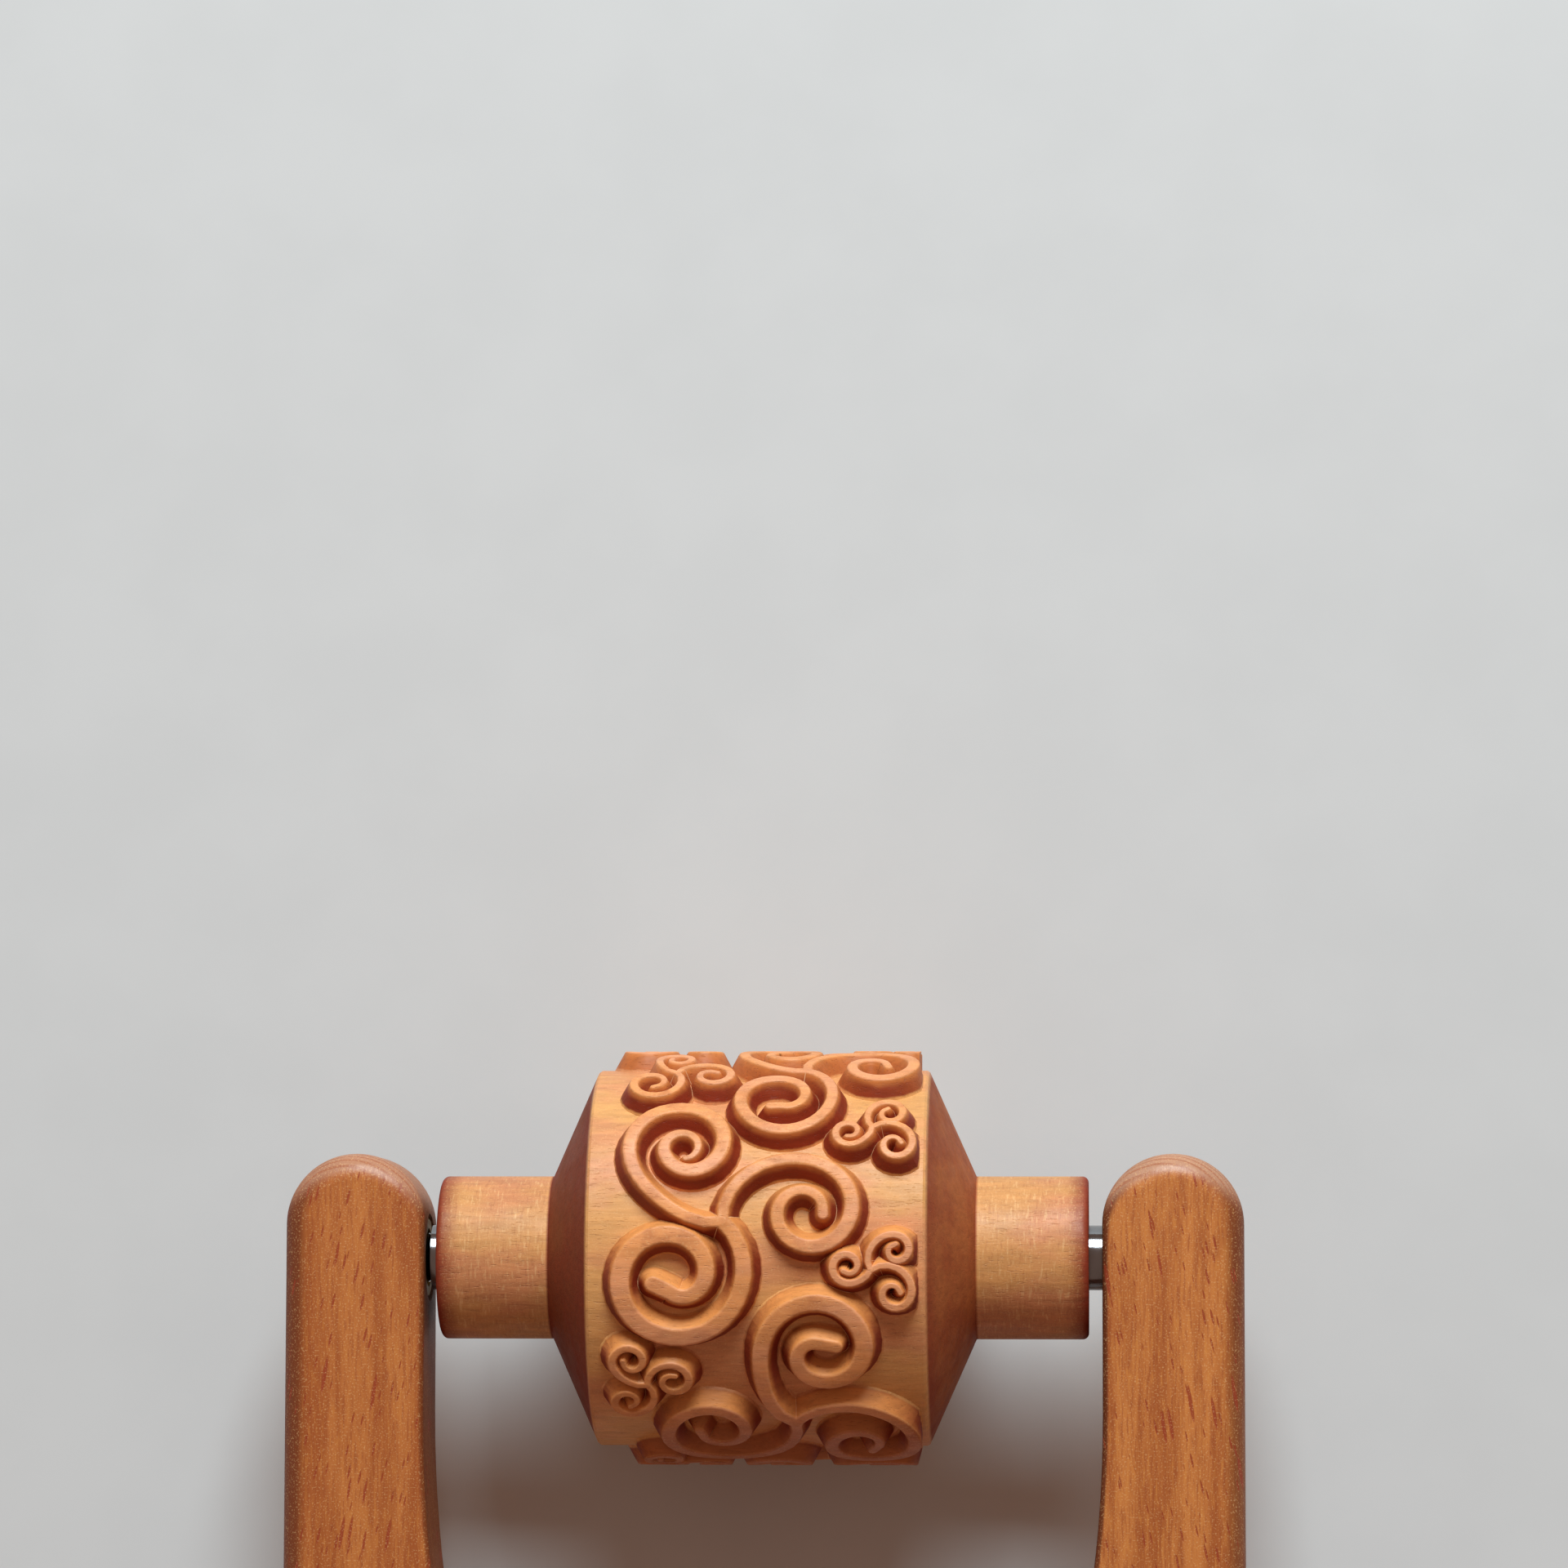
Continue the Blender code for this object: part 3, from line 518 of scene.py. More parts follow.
def with_valleys(mesh):
    """Store in the mesh where two walls of the relief meet in a valley."""
    bm = bmesh.new()
    bm.from_mesh(mesh)
    bmesh.ops.remove_doubles(bm, verts=bm.verts, dist=WELD)
    bmesh.ops.dissolve_degenerate(bm, dist=WELD / 2, edges=bm.edges)
    valley = bm.verts.layers.float.new("valley")
    for edge in bm.edges:
        outwards = from_axis(edge.verts[0]).normalized()
        walls = all(abs(face.normal.dot(outwards)) < WALL_UPRIGHT for face in edge.link_faces)
        if walls and edge.calc_face_angle_signed() < -VALLEY_ANGLE:
            for vert in edge.verts:
                vert[valley] = 1.0
    crowded = [face for face in bm.faces if sum(vert[valley] > 0.5 for vert in face.verts) > 2]
    for vert in bmesh.ops.poke(bm, faces=crowded)["verts"]:
        vert[valley] = 0.0
    bpy.data.meshes.remove(mesh)
    return mesh_of(bm, "carved_drum")


class OBJECT_OT_carved_drum(bpy.types.Operator):
    """Turn the drum and carve its relief"""

    bl_idname = "object.roller_carved_drum"
    bl_label = "Carved Drum"

    def execute(self, context):
        drum, axle, colours = settings("drum", "axle", "colours")
        profile = drum_profile(drum, axle)
        body = mesh_of(spun(profile, drum.drum_steps, AXLE_PLACE, closed=True), "carved_drum")
        mesh = with_valleys(with_booleans(body, [relief_mesh(drum)], "UNION", self_crossing=True))
        material = carved_wood(drum, colours)
        finish_piece("carved_drum", mesh, material, "roller", "texture_roller")
        return {"FINISHED"}


# Bushes, axle and insert


TURNED_STEPS = 96
INSERT_STEPS = 72
INSERT_BARB_PITCH = 0.0013
INSERT_BARB_DEPTH = 0.0004


class OBJECT_OT_bushes(bpy.types.Operator):
    """Turn the two bushes that the drum runs on"""

    bl_idname = "object.roller_bushes"
    bl_label = "Bushes"

    def execute(self, context):
        axle, colours = settings("axle", "colours")
        material = metal("bearing_bronze", colours.bronze, 0.34, turned_marks=0.5)
        for side in ("left", "right"):
            node = "roller_bush_" + side
            low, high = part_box(node)
            outer = axle.bush_bore + axle.bush_wall
            profile = chamfered_ring(outer, axle.bush_bore, high.x, low.x, axle.piece_edge)
            mesh = mesh_of(spun(profile, TURNED_STEPS, AXLE_PLACE, closed=True), node + "_turned")
            finish_piece(node + "_turned", mesh, material, "roller", node)
        return {"FINISHED"}


def chamfered_ring(outer, inner, high, low, edge):
    """Closed profile of a ring with chamfered edges."""
    return [
        (outer - edge, high),
        (outer, high - edge),
        (outer, low + edge),
        (outer - edge, low),
        (inner + edge, low),
        (inner, low + edge),
        (inner, high - edge),
        (inner + edge, high),
    ]


def grooved(radius, high, low, pitch, depth):
    """Profile points of a threaded stretch, crest and root in turn, from its high end to its low end."""
    count = int((high - low) / pitch)
    points = []
    for i in range(count):
        points.append((radius, high - pitch * i))
        points.append((radius - depth, high - pitch * (i + 0.5)))
    points.append((radius, high - pitch * count))
    return points


class OBJECT_OT_axle(bpy.types.Operator):
    """Turn the axle, with its slot and its threaded stud"""

    bl_idname = "object.roller_axle"
    bl_label = "Axle"

    def execute(self, context):
        axle, handle, colours = settings("axle", "handle", "colours")
        arm_inner = YOKE_HALF_WIDTH - handle.arm_width
        shoulder = handle.seat_gap - arm_inner
        stud_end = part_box("axle")[0].x
        profile = [(0.0, AXLE_END), (axle.axle_radius - axle.axle_edge, AXLE_END)]
        profile += [(axle.axle_radius, AXLE_END - axle.axle_edge), (axle.axle_radius, shoulder + WELD)]
        profile += [(axle.stud_radius - axle.thread_depth, shoulder)]
        stretch = (shoulder - axle.thread_pitch / 2, stud_end + axle.axle_edge)
        profile += grooved(axle.stud_radius, *stretch, axle.thread_pitch, axle.thread_depth)
        profile += [(axle.stud_radius - axle.axle_edge, stud_end), (0.0, stud_end)]
        rod = mesh_of(spun(profile, TURNED_STEPS, AXLE_PLACE), "polished_axle")
        slot = bmesh.new()
        bmesh.ops.create_cube(slot, size=1.0)
        depth = axle.slot_depth + CUT_OVERRUN
        width = axle.axle_radius * 2 + CUT_OVERRUN
        centre = Vector((AXLE_END - axle.slot_depth + depth / 2, 0.0, 0.0))
        bmesh.ops.scale(slot, vec=(depth, width, axle.slot_width), verts=slot.verts)
        bmesh.ops.transform(slot, matrix=HANDLE_PLACE @ Matrix.Translation(centre), verts=slot.verts)
        mesh = with_booleans(rod, [mesh_of(slot, "slot")], "DIFFERENCE")
        material = metal("polished_steel", colours.steel, 0.14, turned_marks=0.25)
        finish_piece("polished_axle", mesh, material, "handle", "axle")
        return {"FINISHED"}


class OBJECT_OT_insert(bpy.types.Operator):
    """Turn the brass insert, barbed outside and threaded inside"""

    bl_idname = "object.roller_insert"
    bl_label = "Insert"

    def execute(self, context):
        axle, colours = settings("axle", "colours")
        low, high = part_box("axle_insert")
        outer = axle.insert_bore + axle.insert_wall
        root = axle.insert_bore + axle.thread_depth
        edge = axle.piece_edge
        barbs = grooved(outer, high.x - 2 * edge, low.x + 2 * edge, INSERT_BARB_PITCH, INSERT_BARB_DEPTH)
        thread = grooved(root, high.x - edge, low.x + edge, axle.thread_pitch, axle.thread_depth)
        profile = [(outer - edge, high.x), *barbs, (outer - edge, low.x)]
        profile += [(root, low.x), *reversed(thread), (root, high.x)]
        mesh = mesh_of(spun(profile, INSERT_STEPS, AXLE_PLACE, closed=True), "barbed_insert")
        material = metal("machined_brass", colours.brass, 0.42, turned_marks=0.4)
        finish_piece("barbed_insert", mesh, material, "handle", "axle_insert")
        return {"FINISHED"}


# The yoke, the grip and the dowel


THROAT_STEPS = 36
ARM_END_STEPS = 36
OUTER_STEPS = 40
BOARD_ROUND_STEPS = 6
DRILL_STEPS = 64
GRIP_STATION_STEPS = 9
GRIP_ROUND_STEPS = 4
GRIP_GRAIN_OFFSET = 0.031
DOWEL_FLUTES = 18
DOWEL_FLUTE_DEPTH = 0.00022
DOWEL_EDGE = 0.0007


def arc_wire(bm, radii, centre, start, sweep, steps):
    """A wire round an ellipse about a centre, spun from one vertex. Its vertices come in order."""
    before = set(bm.verts)
    first = bmesh.ops.create_vert(bm, co=(math.cos(start), math.sin(start), 0.0))["vert"][0]
    bmesh.ops.spin(bm, geom=[first], cent=(0, 0, 0), axis=(0, 0, 1), angle=sweep, steps=steps)
    verts = [first]
    while len(verts) <= steps:
        nexts = [edge.other_vert(verts[-1]) for edge in verts[-1].link_edges]
        verts.append(next(vert for vert in nexts if vert not in verts and vert not in before))
    bmesh.ops.scale(bm, vec=(*radii, 1.0), verts=verts)
    bmesh.ops.translate(bm, vec=(*centre, 0.0), verts=verts)
    return verts


def yoke_board(handle):
    """The U-shaped board in the handle's frame, each rim edge with its share of the rounding."""
    arm_inner = YOKE_HALF_WIDTH - handle.arm_width
    end_radius = handle.arm_width / 2
    end_centre = (arm_inner + end_radius, handle.arm_reach - end_radius)
    throat_rise = handle.throat_depth - handle.throat_straight
    seat_angle = math.asin(handle.seat_half_width / YOKE_HALF_WIDTH)
    outer_rise = (handle.seat_depth - handle.outer_straight) / math.cos(seat_angle)
    bm = bmesh.new()
    weight = bm.edges.layers.float.new("bevel_weight_edge")
    quarter = math.pi / 2
    throat_centre = (0.0, -handle.throat_straight)
    outer_centre = (0.0, -handle.outer_straight)
    throat = arc_wire(bm, (arm_inner, throat_rise), throat_centre, -quarter, quarter, THROAT_STEPS)
    end = arc_wire(bm, (end_radius, end_radius), end_centre, math.pi, -math.pi, ARM_END_STEPS)
    outer = arc_wire(bm, (YOKE_HALF_WIDTH, outer_rise), outer_centre, 0.0, seat_angle - quarter, OUTER_STEPS)
    bm.edges.new((throat[-1], end[0]))
    bm.edges.new((end[-1], outer[0]))
    inner_share = handle.inner_round / handle.outer_round
    inside = set(throat) | {end[0]}
    for edge in bm.edges:
        edge[weight] = inner_share if set(edge.verts) <= inside else 1.0
    ramp = len(end) // 3
    for i in range(ramp):
        edge = bm.edges.get((end[i], end[i + 1]))
        edge[weight] = inner_share + (1.0 - inner_share) * (i + 1) / (ramp + 1)
    bmesh.ops.mirror(bm, geom=bm.verts[:] + bm.edges[:], axis="X", merge_dist=WELD)
    loose = [vert for vert in bm.verts if len(vert.link_edges) == 1]
    seat = bm.edges.new(loose)
    seat[weight] = 1.0
    bmesh.ops.contextual_create(bm, geom=bm.edges[:])
    half = Vector((0.0, 0.0, handle.board_thickness / 2))
    bmesh.ops.translate(bm, vec=-half, verts=bm.verts)
    raised = bmesh.ops.extrude_face_region(bm, geom=bm.faces[:])["geom"]
    bmesh.ops.translate(bm, vec=2 * half, verts=[g for g in raised if isinstance(g, bmesh.types.BMVert)])
    for edge in bm.edges:
        if abs(edge.verts[0].co.z - edge.verts[1].co.z) > WELD:
            edge[weight] = 0.0
    bmesh.ops.recalc_face_normals(bm, faces=bm.faces)
    return mesh_of(bm, "beech_yoke")


def rounded_board(mesh, handle):
    """The board with its rim rounded by the weights of its edges, put in place."""
    board = placed("board", mesh)
    bevel = board.modifiers.new("routed", "BEVEL")
    bevel.limit_method = "WEIGHT"
    bevel.width = handle.outer_round
    bevel.segments = BOARD_ROUND_STEPS
    rounded = applied(board)
    rounded.transform(HANDLE_PLACE)
    return rounded


def drill(radius, low, high, place):
    """A closed cylinder between two heights of its place's local Z axis."""
    profile = [(0.0, high), (radius, high), (radius, low), (0.0, low)]
    return mesh_of(spun(profile, DRILL_STEPS, place), "drill")


class OBJECT_OT_yoke(bpy.types.Operator):
    """Cut the yoke from its board, round its edges and drill it"""

    bl_idname = "object.roller_yoke"
    bl_label = "Yoke"

    def execute(self, context):
        axle, handle, colours = settings("axle", "handle", "colours")
        arm_inner = YOKE_HALF_WIDTH - handle.arm_width
        board = rounded_board(yoke_board(handle), handle)
        gap = handle.seat_gap
        insert_radius = axle.insert_bore + axle.insert_wall + gap
        insert_end = -arm_inner - gap / 2 - handle.insert_length - handle.insert_hole_bottom
        dowel_end = handle.seat_depth - handle.dowel_in_yoke - gap
        holes = [
            drill(axle.axle_radius + handle.hole_clearance, 0.0, YOKE_HALF_WIDTH + CUT_OVERRUN, AXLE_PLACE),
            drill(insert_radius, insert_end, 0.0, AXLE_PLACE),
            drill(handle.dowel_radius + gap, dowel_end, handle.seat_depth + CUT_OVERRUN, GRIP_PLACE),
        ]
        mesh = with_booleans(board, holes, "DIFFERENCE")
        material = oiled_beech("board_beech", colours, 0.0, True)
        finish_piece("beech_yoke", mesh, material, "handle", "yoke")
        return {"FINISHED"}


def smooth_through(stations, steps):
    """Points on a smooth curve through the stations."""
    points = []
    last = len(stations) - 1
    for i in range(last):
        before = stations[max(i - 1, 0)]
        start = stations[i]
        end = stations[i + 1]
        after = stations[min(i + 2, last)]
        for k in range(steps):
            t = k / steps
            point = []
            for a, b, c, d in zip(before, start, end, after):
                bend = (c - a) * t + (2 * a - 5 * b + 4 * c - d) * t * t + (3 * b - a - 3 * c + d) * t ** 3
                point.append(b + bend / 2)
            points.append(tuple(point))
    points.append(stations[last])
    return points


class OBJECT_OT_grip(bpy.types.Operator):
    """Turn the grip and drill it for its dowel"""

    bl_idname = "object.roller_grip"
    bl_label = "Grip"

    def execute(self, context):
        handle, colours = settings("handle", "colours")
        front = handle.seat_depth + handle.seat_gap
        run = handle.grip_length - handle.seat_gap
        outline = []
        for back_share, radius_share in smooth_through(GRIP_SHARES, GRIP_STATION_STEPS):
            outline.append((handle.grip_radius * min(radius_share, 1.0), front + run * back_share))
        hole_radius = handle.dowel_radius + handle.seat_gap
        hole_end = handle.seat_depth + handle.dowel_in_grip + handle.seat_gap
        edge = handle.inner_round
        profile = [(0.0, outline[-1][1]), *reversed([p for p in outline if p[1] > front + edge])]
        profile += arc(outline[0][0] - edge, front + edge, edge, 0.0, -math.pi / 2, GRIP_ROUND_STEPS)
        profile += [(hole_radius, front), (hole_radius, hole_end), (0.0, hole_end)]
        mesh = mesh_of(spun(profile, TURNED_STEPS, GRIP_PLACE), "turned_grip")
        material = oiled_beech("grip_beech", colours, GRIP_GRAIN_OFFSET, False)
        finish_piece("turned_grip", mesh, material, "handle", "grip")
        return {"FINISHED"}


class OBJECT_OT_dowel(bpy.types.Operator):
    """Cut the fluted dowel that joins the grip to the yoke"""

    bl_idname = "object.roller_dowel"
    bl_label = "Dowel"

    def execute(self, context):
        handle, colours = settings("handle", "colours")
        front = handle.seat_depth - handle.dowel_in_yoke
        back = handle.seat_depth + handle.dowel_in_grip
        bm = bmesh.new()
        wide = handle.dowel_radius
        bmesh.ops.create_cone(
            bm, cap_ends=True, segments=DOWEL_FLUTES * 4, radius1=wide, radius2=wide, depth=back - front
        )
        rims = [edge for edge in bm.edges if abs(edge.verts[0].co.z - edge.verts[1].co.z) < WELD]
        bmesh.ops.bevel(
            bm, geom=rims, offset=DOWEL_EDGE, segments=2, profile=0.5, affect="EDGES", material=-1
        )
        for vert in bm.verts:
            turn = math.atan2(vert.co.y, vert.co.x) * DOWEL_FLUTES
            dip = DOWEL_FLUTE_DEPTH * max(math.cos(turn), 0.0)
            radius = math.hypot(vert.co.x, vert.co.y)
            vert.co.xy *= (radius - dip) / radius
        middle = Matrix.Translation((0.0, 0.0, (front + back) / 2))
        bmesh.ops.transform(bm, matrix=GRIP_PLACE @ middle, verts=bm.verts)
        mesh = mesh_of(bm, "fluted_dowel")
        finish_piece("fluted_dowel", mesh, dowel_wood(colours), "handle", "handle_dowel")
        return {"FINISHED"}


# Materials


class Nodes:
    """Adds nodes to a tree. A call takes outputs or plain values and gives what the new node puts out."""

    def __init__(self, tree):
        self.tree = tree

    def wire(self, value, socket):
        """Link an output to a socket, or set the socket to a plain value."""
        if isinstance(value, bpy.types.NodeSocket):
            self.tree.links.new(value, socket)
        else:
            socket.default_value = value

    def node(self, kind, inputs, **choices):
        """A new node's outputs, once its choices are made and its inputs wired."""
        node = self.tree.nodes.new("ShaderNode" + kind)
        for name, value in choices.items():
            setattr(node, name, value)
        for key, value in inputs.items():
            self.wire(value, node.inputs[key])
        return node.outputs

    def maths(self, operation, first, second=0.0, clamp=False):
        """One or two numbers put through a Math node."""
        return self.node("Math", {0: first, 1: second}, operation=operation, use_clamp=clamp)[0]

    def times(self, first, second):
        """A product of two masks or numbers."""
        return self.maths("MULTIPLY", first, second)

    def inverse(self, mask):
        """What a mask leaves out."""
        return self.maths("SUBTRACT", 1.0, mask)

    def vectors(self, operation, first, second=(0.0, 0.0, 0.0)):
        """One or two vectors put through a Vector Math node."""
        outputs = self.node("VectorMath", {0: first, 1: second}, operation=operation)
        return outputs["Value" if operation in ("LENGTH", "DOT_PRODUCT") else "Vector"]

    def split(self, vector):
        """A vector's X, Y and Z."""
        return list(self.node("SeparateXYZ", {0: vector}))

    def ramp(self, value, low, high, out_low=0.0, out_high=1.0):
        """A smooth step of a value from low to high."""
        inputs = {"Value": value, "From Min": low, "From Max": high, "To Min": out_low, "To Max": out_high}
        return self.node("MapRange", inputs, interpolation_type="SMOOTHSTEP")["Result"]

    def noise(self, vector, scale, detail=3.0, roughness=0.55, distortion=0.0):
        """A noise texture's value."""
        inputs = {"Vector": vector, "Scale": scale, "Detail": detail}
        inputs.update({"Roughness": roughness, "Distortion": distortion})
        return self.node("TexNoise", inputs)["Fac"]

    def mapped(self, vector, location=(0, 0, 0), rotation=(0, 0, 0), scale=(1, 1, 1)):
        """A vector moved, turned and stretched."""
        inputs = {"Vector": vector, "Location": location, "Rotation": rotation, "Scale": scale}
        return self.node("Mapping", inputs)["Vector"]

    def place(self, centre):
        """Object coordinates counted from a centre."""
        return self.vectors("SUBTRACT", self.node("TexCoord", {})["Object"], tuple(centre))

    def bump(self, height, distance, strength):
        """A normal that a height bends."""
        return self.node("Bump", {"Height": height, "Distance": distance, "Strength": strength})["Normal"]

    def group(self, tree, **values):
        """The outputs of a node group whose inputs have these values."""
        inputs = {name.capitalize(): value for name, value in values.items()}
        return self.node("Group", inputs, node_tree=tree)

    def mix(self, factor, first, second, blend="MIX"):
        """A mix of two colours."""
        inputs = {"Factor": factor, 6: first, 7: second}
        return self.node("Mix", inputs, data_type="RGBA", blend_type=blend)[2]

    def shaded(self, colour, shade):
        """A colour made lighter or darker."""
        return self.mix(1.0, colour, shade, "MULTIPLY")

    def layered(self, colour, *layers):
        """A colour with others laid over it in turn, each as its mask, its colour and perhaps a strength."""
        for mask, over, *strength in layers:
            shown = self.times(mask, strength[0]) if strength else mask
            colour = self.mix(shown, colour, over)
        return colour


class Finish(Nodes):
    """The nodes of a new material, with its Principled shader."""

    def __init__(self, name):
        self.material = bpy.data.materials.new(name)
        self.material.use_nodes = True
        super().__init__(self.material.node_tree)
        self.tree.nodes.clear()
        self.shader = self.tree.nodes.new("ShaderNodeBsdfPrincipled")
        self.node("OutputMaterial", {"Surface": self.shader.outputs["BSDF"]})

    def done(self, sockets):
        """The material, once the shader's sockets have their values."""
        for name, value in sockets.items():
            self.wire(value, self.shader.inputs[name])
        return self.material


def effect(name, inputs, make):
    """A node group, made once. An input without a default is a vector, and the others are numbers."""
    if name in bpy.data.node_groups:
        return bpy.data.node_groups[name]
    tree = bpy.data.node_groups.new(name, "ShaderNodeTree")
    for socket, default in inputs.items():
        kind = "NodeSocketVector" if default is None else "NodeSocketFloat"
        made = tree.interface.new_socket(socket, in_out="INPUT", socket_type=kind)
        if default is not None:
            made.default_value = default
    nodes = Nodes(tree)
    source = tree.nodes.new("NodeGroupInput")
    sink = tree.nodes.new("NodeGroupOutput")
    for socket, value in make(nodes, source.outputs).items():
        tree.interface.new_socket(socket, in_out="OUTPUT", socket_type="NodeSocketFloat")
        nodes.wire(value, sink.inputs[socket])
    return tree


def grain_masks(nodes, source):
    """Streaks, pores and glints of wood."""
    place = source["Place"]
    return {
        "Streak": nodes.noise(place, 900.0, 4.0, 0.6, 0.4),
        "Pores": nodes.ramp(nodes.noise(place, 4200.0, 2.0, 0.5), 0.60, 0.72),
        "Glint": nodes.ramp(nodes.noise(source["Close"], 6000.0, 1.0), 0.55, 0.72),
    }


def fine_grain():
    """Node group: wood grain. Its place comes stretched along the grain, and its close place doesn't."""
    return effect("fine grain", {"Place": None, "Close": None}, grain_masks)


FLECK_LEAN = math.radians(-12.0)
FLECK_SCALE = (2300.0, 310.0, 450.0)
FLECK_SHARPNESS = 14.0
FLECK_SHIFT = 0.0371


def fleck_mask(nodes, source):
    """Lens-shaped cells, of which some are kept."""
    leaning = nodes.mapped(source["Place"], rotation=(0, 0, FLECK_LEAN))
    cells = nodes.node("TexVoronoi", {"Vector": nodes.mapped(leaning, scale=FLECK_SCALE), "Scale": 1.0})
    random = nodes.node("SeparateColor", {"Color": cells["Color"]})
    kept = nodes.maths("LESS_THAN", random["Red"], source["Density"])
    size = nodes.ramp(random["Green"], 0.0, 1.0, 0.14, 0.30)
    inside = nodes.maths("SUBTRACT", size, cells["Distance"])
    return {"Fleck": nodes.times(nodes.maths("MULTIPLY", inside, FLECK_SHARPNESS, clamp=True), kept)}


def ray_flecks():
    """Node group: short flecks that lean a little from a board's length, which is the place's Y."""
    return effect("ray flecks", {"Place": None, "Density": 0.6}, fleck_mask)


WOOD_SPECULAR = 0.32
WOOD_BUMP = (0.00006, 0.8)


def carved_wood(drum, colours):
    """Fine pale wood with the drum's masks: ridge tops, burnt walls, their valleys, chamfers and end rims,
    with painted shade and painted light on the relief by where it lies towards the key lamp at rest.
    """
    wood = Finish("carved_wood")
    ramp, times, noise, mapped = wood.ramp, wood.times, wood.noise, wood.mapped
    place = wood.place(AXIS)
    x, y = wood.split(place)[:2]
    across = wood.maths("ABSOLUTE", x)
    radius = wood.vectors("LENGTH", wood.vectors("MULTIPLY", place, (0.0, 1.0, 1.0)))
    height = wood.maths("SUBTRACT", radius, drum.ground_radius)
    grain = wood.group(fine_grain(), place=mapped(place, scale=(0.26, 1.5, 1.5)), close=place)
    smudge = noise(place, 420.0)
    pink = ramp(noise(mapped(place, scale=(0.5, 1.0, 1.0)), 130.0), 0.42, 0.60)

    # Ridge tops and walls. Painted shade darkens those that lie towards the grip at rest, away from the key
    # lamp, and painted light makes the walls opposite, towards the lamp, paler
    top = drum.relief_height
    on_top = ramp(height, top * 0.86, top * 0.98)
    above_foot = ramp(wood.maths("SUBTRACT", height, times(smudge, top * 0.22)), -top * 0.06, top * 0.08)
    wall = times(above_foot, wood.inverse(on_top))
    around = wood.maths("DIVIDE", y, radius)
    # Painted shade: tops and walls towards the grip at rest, away from the key lamp, are darkened
    grip_side_shade = ramp(around, -0.92, -0.72, 0.58, 0.0)
    # Painted light: walls towards the key lamp at rest are laid golden
    lamp_side_light = ramp(around, 0.76, 0.94, 0.0, 0.65)
    stained_and_shaded = wood.layered(
        colours.ridge_top,
        (ramp(smudge, 0.44, 0.72, 0.0, 0.34), colours.burnt_and_shade),
        (pink, colours.ridge_pink, 0.60),
        (grip_side_shade, colours.burnt_and_shade),
    )
    low_wall = wood.maths("ADD", height, times(smudge, top * 0.30))
    # Painted light: upper walls that face the way the drum turns, which at rest is towards the key lamp, are
    # laid paler
    normal = wood.node("TexCoord", {})["Normal"]
    lead = wood.split(wood.vectors("CROSS_PRODUCT", normal, place))[0]
    lamp_facing = ramp(wood.maths("DIVIDE", lead, radius), 0.02, 0.86, 0.0, 0.92)
    wall_colour = wood.layered(
        colours.burnt_and_shade,
        (ramp(low_wall, top * 0.70, top * 1.12), colours.wall_gold_and_light),
        (times(lamp_facing, ramp(low_wall, top * 0.04, top * 0.42)), colours.worn),
        (lamp_side_light, colours.wall_gold_and_light),
        (grip_side_shade, colours.burnt_and_shade),
    )
    in_valley = ramp(wood.node("Attribute", {}, attribute_name="valley")["Fac"], 0.90, 0.97)
    faded = ramp(noise(place, 260.0, 2.0), 0.40, 0.55, 0.35, 0.90)

    # Chamfers, darker by the face and by the stub
    slope = drum.chamfer_length
    half_face = drum.face_width / 2
    chamfer_end = half_face + slope
    rounding = drum.stub_round
    on_chamfer = times(
        ramp(across, half_face + FACE_EDGE_ROUND / 2, half_face + slope * 0.08),
        ramp(across, chamfer_end - WELD, chamfer_end + rounding / 2, 1.0, 0.0),
    )
    by_face = ramp(across, half_face + slope * 0.10, half_face + slope * 0.32, 0.42, 0.0)
    by_stub = ramp(across, half_face + slope * 0.80, chamfer_end, 0.0, 0.30)
    end_grain = wood.layered(
        wood.mix(ramp(x, -half_face, half_face), colours.chamfer_left, colours.chamfer_right),
        (ramp(noise(place, 190.0), 0.40, 0.66, 0.0, 0.45), colours.burnt_and_shade),
        (wood.maths("MAXIMUM", by_face, by_stub), colours.burnt_and_shade),
    )

    # Stubs, with their turning marks and their reddened rims
    rim_place = wood.maths("ADD", across, times(smudge, rounding))
    on_rim = ramp(rim_place, DRUM_HALF_LENGTH - rounding * 0.9, DRUM_HALF_LENGTH + rounding * 0.3)
    reddened = ramp(rim_place, DRUM_HALF_LENGTH - rounding * 3.8, DRUM_HALF_LENGTH)
    on_stub = ramp(across, chamfer_end, chamfer_end + rounding)
    turned = noise(mapped(place, scale=(1.0, 0.16, 0.16)), 4200.0, 2.0, 0.6)
    plain_stub = times(on_stub, wood.inverse(reddened))

